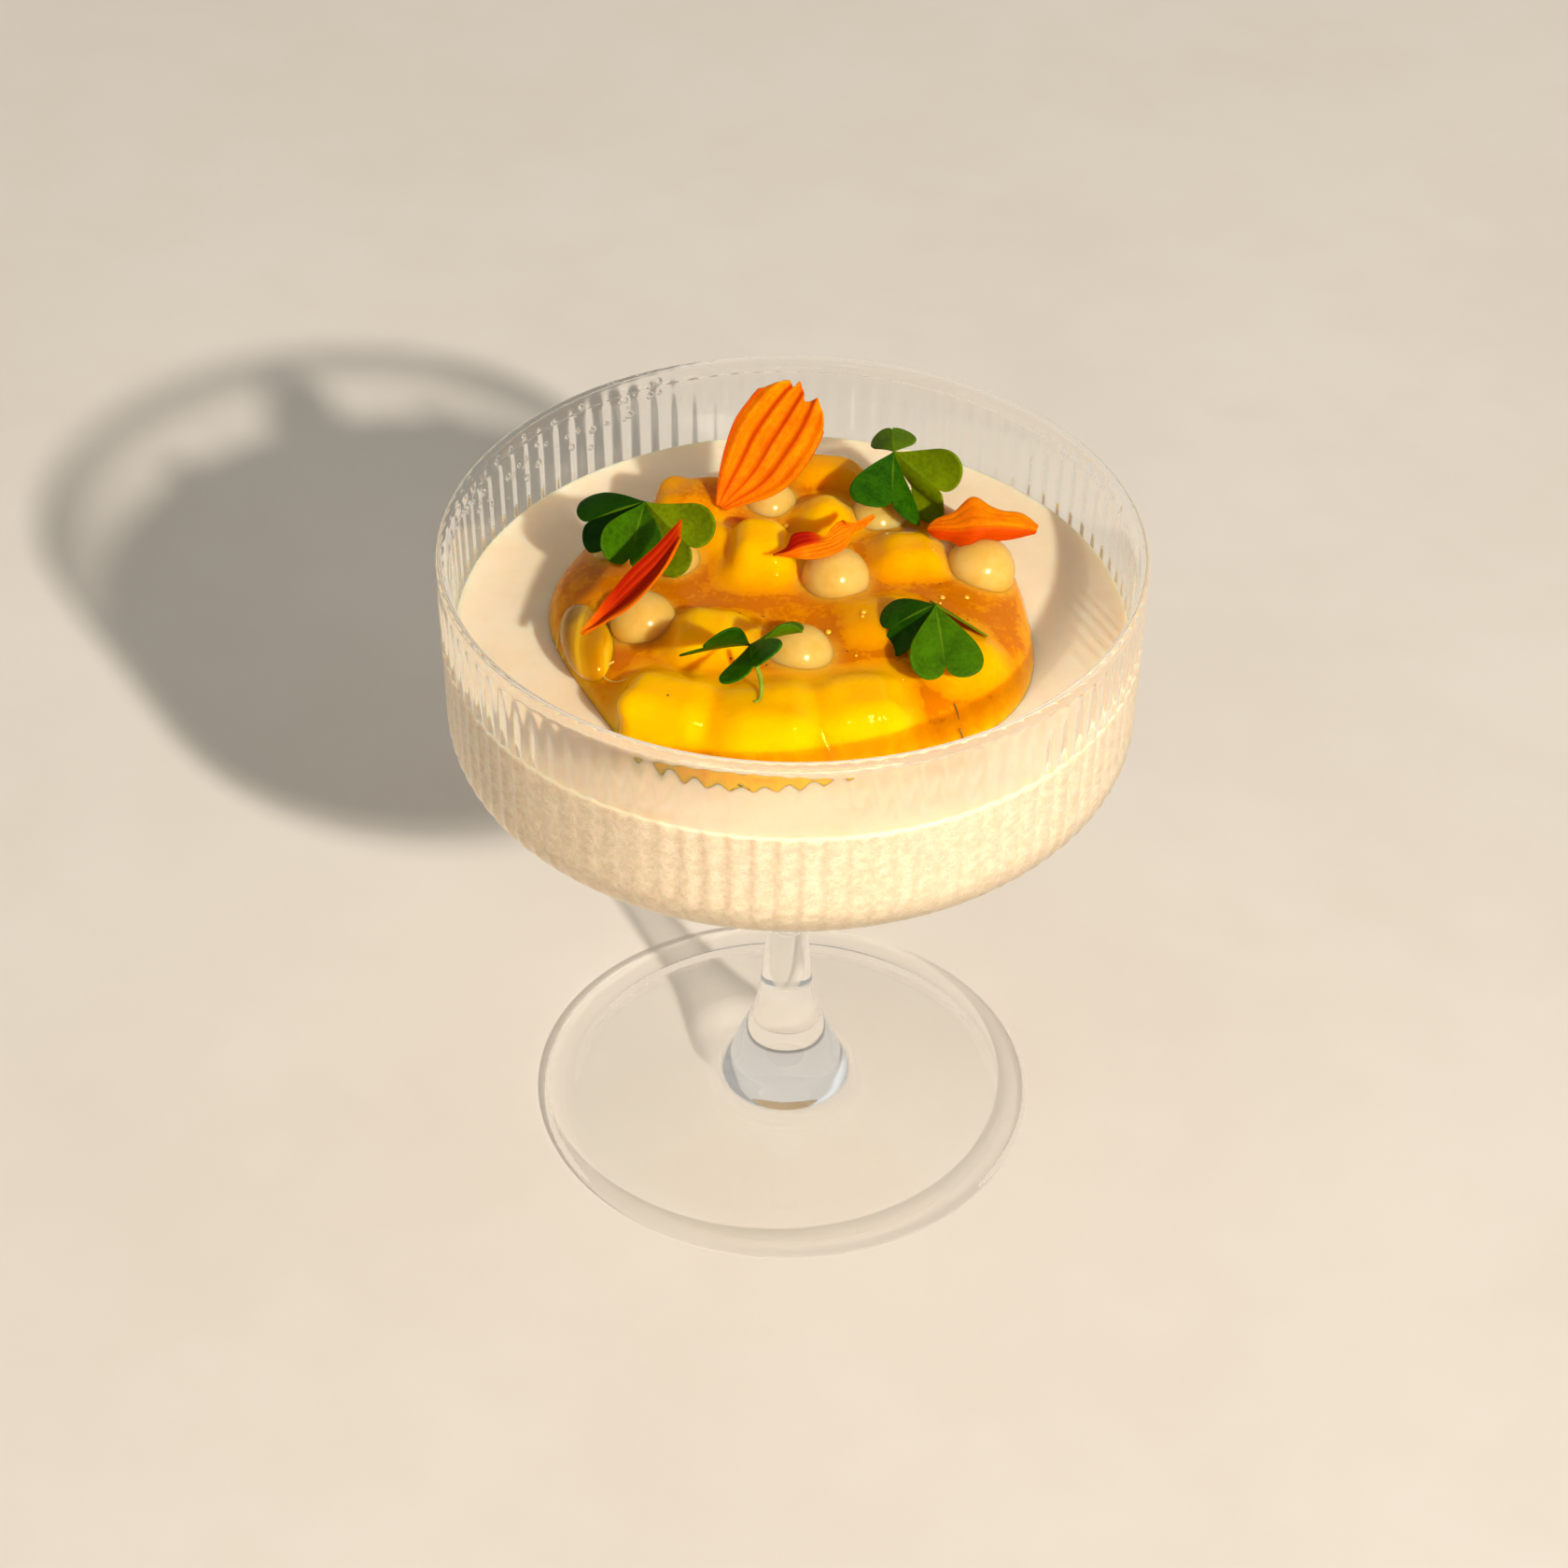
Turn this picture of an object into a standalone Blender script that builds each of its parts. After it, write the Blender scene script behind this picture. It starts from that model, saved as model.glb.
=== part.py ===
"""Panna cotta in a ribbed coupe glass, under mango compote, flower petals and wood sorrel.

Real size, +Z up. The glass stands on z = 0 with its axis on the Z axis, and the front of the
dish faces -Y. Every dimension below is in millimetres and every angle in degrees; meshes and
places turn into metres as they are stored.
"""
import math
import random

import bmesh
import bpy
from mathutils import Matrix, Vector

MM = 0.001
GAP = 0.3  # clearance between pieces that touch in the real dish

# Glass: a stemmed coupe, ribbed on the outside
RIM_RADIUS = 52.0
GLASS_HEIGHT = 108.0
LIP_THICKNESS = 1.3
WALL_TAPER = 0.026  # lost from the outer radius per millimetre below the rim
RIB_COUNT = 96
RIB_DEPTH = 0.15  # either side of the mean radius
BOWL_BASE_Z = 74.0
BOWL_CORNER_RADIUS = 7.0
INNER_CORNER_RADIUS = 6.0
INNER_FLOOR_Z = 76.2
FOOT_RADIUS = 39.0
STEM_RADIUS = 3.3

# Panna cotta
CREAM_LEVEL = 94.0

# Mango sauce: a low mound on the cream with a wavy edge
SAUCE_RADIUS = 36.6
SAUCE_RISE = 8.6
SAUCE_WAVES = ((1, 1.1, -69), (2, 1.2, 178), (4, 0.8, -80), (5, 0.8, 174))  # per turn, size, phase
SAUCE_SIDES = 32
SAUCE_RINGS = (0.4, 0.7, 0.9, 0.98, 1.0)

# Mango cubes: centre x, y and top z, then width, depth, height and turn about Z
MANGO_CUBES = (
    (-17.7, -28.6, 103.0, 12.5, 9.0, 8.7, -18),
    (-3.3, -31.8, 103.0, 12.0, 9.5, 8.7, 2),
    (9.8, -28.4, 102.5, 10.5, 9.5, 8.2, 12),
    (-11.6, -15.2, 105.0, 9.0, 9.0, 10.7, -4),
    (-4.6, 4.6, 107.3, 8.0, 9.5, 10.5, 0),
    (-11.3, 9.2, 104.0, 4.0, 5.5, 9.7, 5),
    (-15.0, 18.8, 105.0, 11.0, 9.5, 10.7, -8),
    (4.7, 15.6, 105.4, 5.8, 6.5, 9.0, 10),
    (5.2, 27.6, 103.8, 9.5, 7.8, 9.5, -6),
    (17.4, 6.4, 104.0, 8.2, 8.6, 9.7, 6),
    (13.4, -10.4, 102.6, 9.0, 9.0, 8.3, 15),
    (23.6, -16.6, 101.8, 9.5, 9.0, 7.5, 34),
)
CUBE_ROUNDING = 1.3
CUBE_UNEVENNESS = 0.05  # of each side, how far the cut corners wander

# Pearls: centre and radius
PEARLS = (
    (27.7, 5.0, 100.4, 5.2),
    (6.3, -0.5, 102.3, 5.0),
    (1.1, -18.5, 101.4, 5.0),
    (-21.5, -10.0, 100.8, 4.9),
    (-18.1, 5.0, 101.0, 4.5),
    (12.6, 17.0, 100.4, 4.5),
    (-3.6, 20.0, 100.8, 4.3),
    (-26.0, 9.6, 99.4, 3.9),
)

# A thin slice of fruit jelly lying at the left edge of the compote
JELLY_CENTRE = (-29.6, -11.5, 98.3)
JELLY_HALF_SIZES = (2.6, 7.5, 3.1)
JELLY_TURN = (0, 0, 14)  # roll, rise and heading

# Petals: base, then roll, rise and heading, then length, width, fold, arch and flute depth
PETALS = (
    ((-11.2, 13.4, 105.6), (38, 46, 38), (22.8, 12.6, 6, 8, 0.45)),
    ((-30.2, -18.4, 105.8), (35, 21, 48), (23.5, 7.4, 50, 22, 0.2)),
    ((-2.6, -2.6, 108.2), (24, -3, 36), (17.0, 6.4, 24, -26, 0.0)),
    ((20.2, 7.6, 109.0), (14, 1, 6), (16.6, 9.5, -18, 18, 0.0)),
)
PETAL_THICKNESS = 0.4
PETAL_COLUMNS = 4
PETAL_ROWS = 6

# Wood sorrel sprigs: where the three leaflets meet, then heading, rise, roll, length and fold
# of each leaflet
SPRIGS = (
    ((-21.9, 8.1, 110.0), ((-109, -40, -15, 9.6, 8), (-166, -14, -17, 9.0, 40),
                           (-24, -17, 17, 10.5, 16))),
    ((14.9, 23.6, 108.8), ((84, -4, -1, 7.0, 20), (1, -20, 34, 9.6, 14),
                           (-70, -24, 4, 11.4, 18))),
    ((-6.2, -24.2, 108.4), ((-176, -10, 2, 8.4, 42), (-78, -4, -1, 7.6, 26),
                            (16, 6, -60, 8.8, 30))),
    ((20.6, -15.2, 109.2), ((-78, -44, 9, 10.2, 8), (-174, -28, -23, 9.0, 36),
                            (-43, 0, -72, 9.6, 14))),
)
LEAFLET_THICKNESS = 0.4
HUB_RADIUS = 0.7
# Half of a leaflet's outline as parts of its length: along the midrib, then out from it
LEAFLET_OUTLINE = ((0.34, 0.28), (0.80, 0.52), (1.08, 0.44), (1.14, 0.20))
LEAFLET_NOTCH = 0.93


def material(name, colour, roughness, transmission=0.0):
    made = bpy.data.materials.new(name)
    made.use_nodes = True
    shader = made.node_tree.nodes["Principled BSDF"]
    shader.inputs["Base Color"].default_value = (*colour, 1.0)
    shader.inputs["Roughness"].default_value = roughness
    shader.inputs["Transmission Weight"].default_value = transmission
    return made


def add_object(name, form, finish=None, smooth_angle=40, place=(0, 0, 0), turn=(0, 0, 0)):
    """Stores a bmesh drawn in millimetres as a named object in metres, put in its place.

    turn is (roll, rise, heading): +X points to the heading and up by the rise, and the piece is
    rolled about that direction.
    """
    bmesh.ops.recalc_face_normals(form, faces=form.faces)
    form.transform(Matrix.Scale(MM, 4))
    mesh = bpy.data.meshes.new(name)
    form.to_mesh(mesh)
    form.free()
    mesh.shade_smooth()
    mesh.set_sharp_from_angle(angle=math.radians(smooth_angle))
    if finish:
        mesh.materials.append(finish)
    made = bpy.data.objects.new(name, mesh)
    made.location = Vector(place) * MM
    roll, rise, heading = (math.radians(angle) for angle in turn)
    made.rotation_euler = (roll, -rise, heading)
    bpy.context.scene.collection.objects.link(made)
    return made


def combine(target, tool, operation):
    """Applies a Boolean of tool to target and removes the tool."""
    step = target.modifiers.new(operation.lower(), "BOOLEAN")
    step.operation = operation
    step.solver = "EXACT"
    step.object = tool
    bpy.context.view_layer.update()
    evaluated = target.evaluated_get(bpy.context.evaluated_depsgraph_get())
    result = bpy.data.meshes.new_from_object(evaluated)
    target.modifiers.remove(step)
    target.data = result
    bpy.data.objects.remove(tool)


def arc(centre_radius, centre_z, radius, start, end, steps):
    """Points of a circular corner as (radius, z)."""
    for step in range(steps + 1):
        angle = math.radians(start + (end - start) * step / steps)
        yield centre_radius + radius * math.cos(angle), centre_z + radius * math.sin(angle)


def lathe(rows):
    """Turns rows of (radius, z, sides, rib depth) about Z; a radius of 0 is a pole.

    Where a row has twice the sides of its neighbour, each wide side meets two narrow ones.
    """
    form = bmesh.new()
    rings = []
    for radius, z, sides, rib in rows:
        ring = []
        for side in range(sides if radius else 1):
            angle = 2 * math.pi * side / sides
            out = radius + rib * math.cos(RIB_COUNT * angle)
            ring.append(form.verts.new((out * math.cos(angle), out * math.sin(angle), z)))
        rings.append(ring)
    for first, second in zip(rings, rings[1:]):
        coarse, fine = sorted((first, second), key=len)
        count = len(coarse)
        for side in range(len(fine) if count == 1 else count):
            after = (side + 1) % len(fine if count == 1 else coarse)
            if count == 1:
                form.faces.new((coarse[0], fine[side], fine[after]))
            elif count == len(fine):
                form.faces.new((coarse[side], coarse[after], fine[after], fine[side]))
            else:
                left, middle, right = fine[2 * side], fine[2 * side + 1], fine[2 * after]
                form.faces.new((coarse[side], left, middle))
                form.faces.new((coarse[side], middle, coarse[after]))
                form.faces.new((coarse[after], middle, right))
    return form


def glass_rows():
    """The glass's whole outline, from under the foot, up the outside, over the lip and in."""
    foot = [
        (0.0, 3.4, 24), (15.0, 3.0, 24), (30.0, 1.4, 48), (35.5, 0.0, 48), (37.5, 0.0, 48),
        (FOOT_RADIUS, 1.2, 48), (37.4, 2.5, 48), (24.0, 3.9, 48), (13.0, 5.2, 24),
    ]
    stem = [
        (9.6, 7.8, 24), (7.4, 12.8, 24), (5.4, 18.0, 24), (4.2, 24.0, 24), (STEM_RADIUS, 34.0, 24),
        (STEM_RADIUS, 60.0, 24), (4.4, 66.0, 24), (8.5, 70.0, 24), (18.0, 71.6, 48),
        (36.0, 73.2, 96),
    ]
    corner_z = BOWL_BASE_Z + BOWL_CORNER_RADIUS
    wall_foot = RIM_RADIUS - WALL_TAPER * (GLASS_HEIGHT - corner_z)
    corner = list(arc(wall_foot - BOWL_CORNER_RADIUS, corner_z, BOWL_CORNER_RADIUS, -90, 0, 3))
    ribbed = [
        (radius, z, 2 * RIB_COUNT, RIB_DEPTH * step / (len(corner) - 1))
        for step, (radius, z) in enumerate(corner)
    ]
    ribbed.append((RIM_RADIUS - 0.05, GLASS_HEIGHT - 1.4, 2 * RIB_COUNT, RIB_DEPTH))
    inside = RIM_RADIUS - LIP_THICKNESS
    lip = [
        (RIM_RADIUS - 0.25, GLASS_HEIGHT - 0.3, 96), (RIM_RADIUS - 0.65, GLASS_HEIGHT, 96),
        (inside + 0.2, GLASS_HEIGHT - 0.3, 96), (inside - 0.1, GLASS_HEIGHT - 1.2, 96),
    ]
    inner = [(radius, z, 48) for radius, z in inner_rows(0.0, CREAM_LEVEL + 1.0)]
    plain = [(radius, z, sides, 0.0) for radius, z, sides in foot + stem]
    rest = [(radius, z, sides, 0.0) for radius, z, sides in lip + inner[::-1]]
    return plain + ribbed + rest


def inner_rows(inset, top):
    """The bowl's inside from its centre up to a height, drawn in by an inset."""
    corner_z = INNER_FLOOR_Z + INNER_CORNER_RADIUS
    radius = INNER_CORNER_RADIUS - inset
    wall = RIM_RADIUS - LIP_THICKNESS - 1.35
    corner = list(arc(wall - INNER_CORNER_RADIUS, corner_z, radius, -90, 0, 3))
    lean = (top - corner_z) * 0.03
    return [(0.0, 74.2 + inset), *corner, (wall - inset + lean, top)]


def sauce_edge(angle):
    return SAUCE_RADIUS + sum(
        size * math.cos(times * angle - math.radians(phase)) for times, size, phase in SAUCE_WAVES
    )


def sauce_mound():
    """The mound of sauce before the pieces of fruit are sunk into it."""
    form = bmesh.new()
    bottom = CREAM_LEVEL + GAP
    rings = []
    for part in SAUCE_RINGS:
        rise = SAUCE_RISE * max(0.0, 1 - part**3.2) ** 0.55
        ring = []
        for side in range(SAUCE_SIDES):
            angle = 2 * math.pi * side / SAUCE_SIDES
            out = sauce_edge(angle) * part
            ring.append(form.verts.new((out * math.cos(angle), out * math.sin(angle), bottom + rise)))
        rings.append(ring)
    top = form.verts.new((0, 0, bottom + SAUCE_RISE))
    for side in range(SAUCE_SIDES):
        after = (side + 1) % SAUCE_SIDES
        form.faces.new((top, rings[0][side], rings[0][after]))
        for lower, upper in zip(rings[1:], rings):
            form.faces.new((lower[side], lower[after], upper[after], upper[side]))
    form.faces.new(rings[-1][::-1])
    return form


def mango_cube(index, size, grow=0.0):
    """One cut cube with slightly uneven sides, its edges rounded unless it is grown."""
    chance = random.Random(index)
    form = bmesh.new()
    bmesh.ops.create_cube(form, size=1.0)
    for corner in form.verts:
        for axis, side in enumerate(size):
            wander = CUBE_UNEVENNESS * chance.uniform(0, 1) if axis < 2 else 0.0
            corner.co[axis] *= side * (1 - wander) + 2 * grow
    if not grow:
        bmesh.ops.bevel(
            form, geom=form.edges[:], offset=CUBE_ROUNDING, offset_type="OFFSET", segments=1,
            profile=0.5, affect="EDGES",
        )
    return form


def ball(half_sizes, grow=0.0, sides=12, rings=6):
    """A sphere or, with unequal half sizes, a lens."""
    form = bmesh.new()
    bmesh.ops.create_uvsphere(form, u_segments=sides, v_segments=rings, radius=1.0)
    form.transform(Matrix.Diagonal([half + grow for half in half_sizes] + [1.0]))
    return form


def petal(length, width, fold, arch, flute):
    """One petal along +X: folded along its middle, arched along its length, notched at the tip."""
    form = bmesh.new()
    layers = []
    for offset in (PETAL_THICKNESS / 2, -PETAL_THICKNESS / 2):
        grid = []
        for row in range(PETAL_ROWS):
            along = row / (PETAL_ROWS - 1)
            half = width / 2 * (0.12 + 0.88 * math.sin(math.pi * min(1.0, 0.16 + 0.62 * along)) ** 1.6)
            line = []
            for column in range(PETAL_COLUMNS + 1):
                across = 2 * column / PETAL_COLUMNS - 1
                reach = along - (0.10 * abs(across) + 0.05 * (column % 2)) * along**3
                bend = math.radians(arch) * reach
                raised = abs(across) * half * math.tan(math.radians(fold))
                raised += flute * along * (1 if column % 2 else -1)
                radius = length / math.radians(arch)
                x = (radius + raised + offset) * math.sin(bend)
                z = (radius + raised + offset) * math.cos(bend) - radius
                line.append(form.verts.new((x, across * half, z)))
            grid.append(line)
        layers.append(grid)
    close_layers(form, layers)
    return form


def close_layers(form, layers):
    """Faces over two grids of points, one above the other, and around their shared edge."""
    top, under = layers
    for row in range(len(top) - 1):
        for column in range(len(top[0]) - 1):
            corners = ((row, column), (row + 1, column), (row + 1, column + 1), (row, column + 1))
            form.faces.new([top[i][j] for i, j in corners])
            form.faces.new([under[i][j] for i, j in reversed(corners)])
    last_row, last_column = len(top) - 1, len(top[0]) - 1
    border = [(0, j) for j in range(last_column)] + [(i, last_column) for i in range(last_row)]
    border += [(last_row, j) for j in range(last_column, 0, -1)]
    border += [(i, 0) for i in range(last_row, 0, -1)]
    for (i, j), (k, m) in zip(border, border[1:] + border[:1]):
        form.faces.new((top[i][j], top[k][m], under[k][m], under[i][j]))


def leaflet(length, fold):
    """One heart-shaped leaflet along +X from its stalk end, folded up along the midrib."""
    form = bmesh.new()
    tilt = math.radians(fold)
    faces = []
    midrib = {}
    for offset in (LEAFLET_THICKNESS / 2, -LEAFLET_THICKNESS / 2):
        midrib[offset] = [form.verts.new((x * length, 0, offset)) for x in (0.0, LEAFLET_NOTCH)]
    for side in (1, -1):
        edges = []
        for offset, (base, notch) in midrib.items():
            rim = [
                form.verts.new((x * length, side * y * length * math.cos(tilt),
                                y * length * math.sin(tilt) + offset))
                for x, y in LEAFLET_OUTLINE
            ]
            edges.append([base, *rim, notch])
            faces.append(edges[-1])
        upper, lower = edges
        for step in range(len(upper) - 1):
            faces.append((upper[step], upper[step + 1], lower[step + 1], lower[step]))
    for corners in faces:
        form.faces.new(corners)
    return form


def sprig(name, hub, leaflets, finish):
    """Three leaflets joined where their short stalks meet."""
    made = add_object(name, ball((HUB_RADIUS,) * 3, sides=6, rings=4), finish, place=hub)
    for heading, rise, roll, length, fold in leaflets:
        part = add_object("leaflet", leaflet(length, fold), finish, place=hub,
                          turn=(roll, rise, heading))
        combine(made, part, "UNION")


def sink(mound, form, place, turn):
    """Cuts a pocket in the mound for a piece of fruit."""
    combine(mound, add_object("pocket", form, place=place, turn=turn), "DIFFERENCE")


def compote():
    """The mound of sauce with its cubes, pearls and slice of jelly sunk into it."""
    mango = material("mango", (0.92, 0.50, 0.01), 0.25)
    pearl = material("pearl", (0.85, 0.58, 0.28), 0.08)
    mound = add_object("mango_sauce", sauce_mound(), material("sauce", (0.80, 0.36, 0.02), 0.12),
                       smooth_angle=60)
    for index, (x, y, top, *size, heading) in enumerate(MANGO_CUBES):
        place, turn = (x, y, top - size[2] / 2), (0, 0, heading)
        add_object(f"mango_{index + 1}", mango_cube(index, size), mango, 25, place, turn)
        sink(mound, mango_cube(index, size, GAP), place, turn)
    for index, (*centre, radius) in enumerate(PEARLS):
        add_object(f"pearl_{index + 1}", ball((radius,) * 3), pearl, 60, centre)
        sink(mound, ball((radius,) * 3, GAP), centre, (0, 0, 0))
    jelly = material("jelly", (0.72, 0.45, 0.05), 0.10)
    add_object("jelly_slice", ball(JELLY_HALF_SIZES), jelly, 60, JELLY_CENTRE, JELLY_TURN)
    sink(mound, ball(JELLY_HALF_SIZES, GAP), JELLY_CENTRE, JELLY_TURN)


def build():
    for old in list(bpy.data.objects):
        bpy.data.objects.remove(old)
    add_object("glass", lathe(glass_rows()), material("clear_glass", (0.95, 0.96, 0.95), 0.02, 1.0))
    cream_rows = [*inner_rows(GAP, CREAM_LEVEL), (0.0, CREAM_LEVEL)]
    add_object("panna_cotta", lathe([(r, z, 48, 0.0) for r, z in cream_rows]),
               material("cream", (0.90, 0.82, 0.66), 0.35))
    compote()
    flower = material("flower", (0.85, 0.20, 0.01), 0.55)
    for index, (base, turn, shape) in enumerate(PETALS):
        add_object(f"petal_{index + 1}", petal(*shape), flower, place=base, turn=turn)
    leaf = material("leaf", (0.06, 0.22, 0.01), 0.50)
    for index, (hub, leaflets) in enumerate(SPRIGS):
        sprig(f"sprig_{index + 1}", hub, leaflets, leaf)


build()
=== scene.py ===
# %% [markdown]
# # A set cream with mango compote in a ribbed coupe
#
# The object is a dessert built together with its glass: a stemmed coupe of clear glass,
# a panna cotta poured and set in it, and on top a small heap of mango cubes and pale pearls
# under a glossy sauce, dressed with four flower petals and four sprigs of wood sorrel.
#
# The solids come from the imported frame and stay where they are. Each cell makes the finished
# look of one of them and says which solid it stands for. Sizes are in millimetres until the
# last moment, because the frame's boxes are the only measure that is used.
import math
import random

import bmesh
import bpy
import numpy as np
from mathutils import Euler, Matrix, Vector


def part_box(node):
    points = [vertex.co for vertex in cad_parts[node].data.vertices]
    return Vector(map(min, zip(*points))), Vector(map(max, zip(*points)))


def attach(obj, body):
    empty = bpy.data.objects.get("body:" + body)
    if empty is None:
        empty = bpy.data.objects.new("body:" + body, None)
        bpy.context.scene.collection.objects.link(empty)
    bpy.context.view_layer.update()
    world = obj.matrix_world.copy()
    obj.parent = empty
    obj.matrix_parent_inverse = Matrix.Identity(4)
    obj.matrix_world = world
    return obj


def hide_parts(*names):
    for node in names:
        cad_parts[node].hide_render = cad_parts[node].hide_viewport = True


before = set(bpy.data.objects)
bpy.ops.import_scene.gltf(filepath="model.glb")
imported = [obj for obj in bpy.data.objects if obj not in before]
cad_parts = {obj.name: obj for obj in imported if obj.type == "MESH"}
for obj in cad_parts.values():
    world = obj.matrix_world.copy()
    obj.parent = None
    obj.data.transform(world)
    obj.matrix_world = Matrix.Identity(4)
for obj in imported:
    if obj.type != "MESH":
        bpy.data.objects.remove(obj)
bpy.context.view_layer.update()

MM = 0.001
print("solids in the frame:", len(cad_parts))


# %% [markdown]
# ## Reading sizes from the frame
#
# A piece is only right if it sits where its solid sits. So every measure below starts from a
# solid's box: the rim's radius and the glass's height from the glass, the level of the cream
# from the cream, the middle of each pearl from that pearl.

# %% Boxes in millimetres
def box_mm(node):
    low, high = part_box(node)
    return np.array(low) * 1000, np.array(high) * 1000


def middle_mm(node):
    low, high = box_mm(node)
    return (low + high) / 2


glass_low, glass_high = box_mm("glass")
RIM_RADIUS = (glass_high[0] - glass_low[0]) / 2 - 0.1
GLASS_HEIGHT = glass_high[2]
CREAM_LEVEL = box_mm("panna_cotta")[1][2]
print(f"rim radius {RIM_RADIUS:.2f}, height {GLASS_HEIGHT:.2f}, cream level {CREAM_LEVEL:.2f}")


# %% [markdown]
# ## The camera
#
# The camera comes first, because it decides what is seen. It looks down at the dessert at
# about 38 degrees, from 61 cm away, with a long lens, so the rim is a calm ellipse and the
# foot shows below the bowl. It leans by less than a degree, as a camera in a hand does.

# %% Camera
def stand(name, data):
    """An object with its data, in the scene."""
    made = bpy.data.objects.new(name, data)
    bpy.context.scene.collection.objects.link(made)
    return made


CAMERA_PITCH = 0.671863
CAMERA_ROLL = 0.013802
CAMERA_DISTANCE = 0.61347
LENS_MM = 92.27

camera_data = bpy.data.cameras.new("camera")
camera_data.lens = LENS_MM
camera_data.sensor_width = 36.0
camera_data.clip_start = 0.01
camera = stand("camera", camera_data)
bpy.context.scene.camera = camera

back = Vector((0.0, -math.cos(CAMERA_PITCH), math.sin(CAMERA_PITCH)))
right = Vector((1.0, 0.0, 0.0))
up = back.cross(right)
leaning_right = math.cos(CAMERA_ROLL) * right + math.sin(CAMERA_ROLL) * up
leaning_up = back.cross(leaning_right)
target = Vector((-0.016027 * RIM_RADIUS, 0.0, 1.221247 * RIM_RADIUS)) * MM
turned = Matrix((leaning_right, leaning_up, back)).transposed()
camera.matrix_world = Matrix.Translation(target + back * CAMERA_DISTANCE) @ turned.to_4x4()
print("camera at", [round(value, 4) for value in camera.matrix_world.translation])


# %% [markdown]
# ## Shared shader effects
#
# Food is never one flat colour. Two effects turn up again and again: a tone that wanders
# between two colours, and fine grain that lifts and sinks the surface. Each is one node group
# with named inputs, used by every material that needs it with its own values. A group gives
# out colours, masks and heights only.

# %% Node helpers
def colour(red, green, blue):
    """A colour picked on a screen, as the light values that Blender works in."""
    def light(value):
        value /= 255
        return value / 12.92 if value <= 0.04045 else ((value + 0.055) / 1.055) ** 2.4
    return light(red), light(green), light(blue), 1.0


def join(tree, source, socket):
    """Joins an output to an input, or gives the input a plain value."""
    if isinstance(source, bpy.types.NodeSocket):
        tree.links.new(source, socket)
    elif source is not None:
        socket.default_value = source


def node(tree, kind, inputs=None, **settings):
    """A node with its settings, then its inputs by name or number."""
    made = tree.nodes.new(kind)
    for name, value in settings.items():
        setattr(made, name, value)
    for name, value in (inputs or {}).items():
        join(tree, value, made.inputs[name])
    return made


def maths(tree, operation, first, second=None, clamp=False):
    inputs = {0: first, 1: second}
    return node(tree, "ShaderNodeMath", inputs, operation=operation, use_clamp=clamp).outputs[0]


def product(tree, first, second, clamp=False):
    return maths(tree, "MULTIPLY", first, second, clamp)


def above(tree, value, level):
    """1 where a value is above a level, else 0."""
    return maths(tree, "GREATER_THAN", value, level)


def blend_colours(tree, share, first, second):
    inputs = {0: share, 6: first, 7: second}
    return node(tree, "ShaderNodeMix", inputs, data_type="RGBA", blend_type="MIX").outputs[2]


def soft_step(tree, value, low, high, top=1.0):
    """Rises smoothly from 0 to top while the value goes from low to high."""
    inputs = {"Value": value, "From Min": low, "From Max": high, "To Max": top}
    return node(tree, "ShaderNodeMapRange", inputs, interpolation_type="SMOOTHSTEP").outputs[0]


def parts_of(tree, vector):
    """The x, y and z of a vector, and its angle about Z."""
    x, y, z = node(tree, "ShaderNodeSeparateXYZ", {0: vector}).outputs
    return x, y, z, maths(tree, "ARCTAN2", y, x)


def ramp(tree, value, *stops):
    """A colour ramp: each stop is (place, colour)."""
    made = node(tree, "ShaderNodeValToRGB", {0: value})
    made.color_ramp.interpolation = "EASE"
    while len(made.color_ramp.elements) < len(stops):
        made.color_ramp.elements.new(0.5)
    for element, (place, tint) in zip(made.color_ramp.elements, stops):
        element.position = place
        element.color = tint
    return made.outputs[0]


def effect(name, inputs, outputs):
    """An empty shader group with its sockets; gives what comes in and what goes out."""
    group = bpy.data.node_groups.new(name, "ShaderNodeTree")
    kinds = {"value": "NodeSocketFloat", "colour": "NodeSocketColor", "vector": "NodeSocketVector"}
    for socket_name, kind, value in inputs:
        socket = group.interface.new_socket(socket_name, in_out="INPUT", socket_type=kinds[kind])
        if value is not None:
            socket.default_value = value
    for socket_name, kind in outputs:
        group.interface.new_socket(socket_name, in_out="OUTPUT", socket_type=kinds[kind])
    return group, node(group, "NodeGroupInput").outputs, node(group, "NodeGroupOutput").inputs


def use(tree, group, **values):
    """A group's outputs in a material. Underscores in a name stand for spaces."""
    inputs = {name.replace("_", " "): value for name, value in values.items()}
    return node(tree, "ShaderNodeGroup", inputs, node_tree=group).outputs


def new_finish(name):
    """A material with its node tree, its Principled shader and its object coordinates."""
    made = bpy.data.materials.new(name)
    made.use_nodes = True
    tree = made.node_tree
    place = node(tree, "ShaderNodeTexCoord").outputs["Object"]
    print("finish:", name)
    return made, tree, tree.nodes["Principled BSDF"], place


def finish_with(tree, shader, tint, **constants):
    """Joins the colour to the shader and sets its plain values."""
    join(tree, tint, shader.inputs["Base Color"])
    for name, value in constants.items():
        shader.inputs[name.replace("_", " ")].default_value = value


def raise_surface(tree, shader, height, strength, distance_mm):
    inputs = {"Strength": strength, "Distance": distance_mm * MM, "Height": height}
    join(tree, node(tree, "ShaderNodeBump", inputs).outputs[0], shader.inputs["Normal"])


def point_value(tree, name):
    """A number that the mesh carries at each of its points."""
    return node(tree, "ShaderNodeAttribute", attribute_name=name).outputs["Fac"]


print("a middle grey on a screen is", round(colour(128, 128, 128)[0], 3), "as light")


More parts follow.
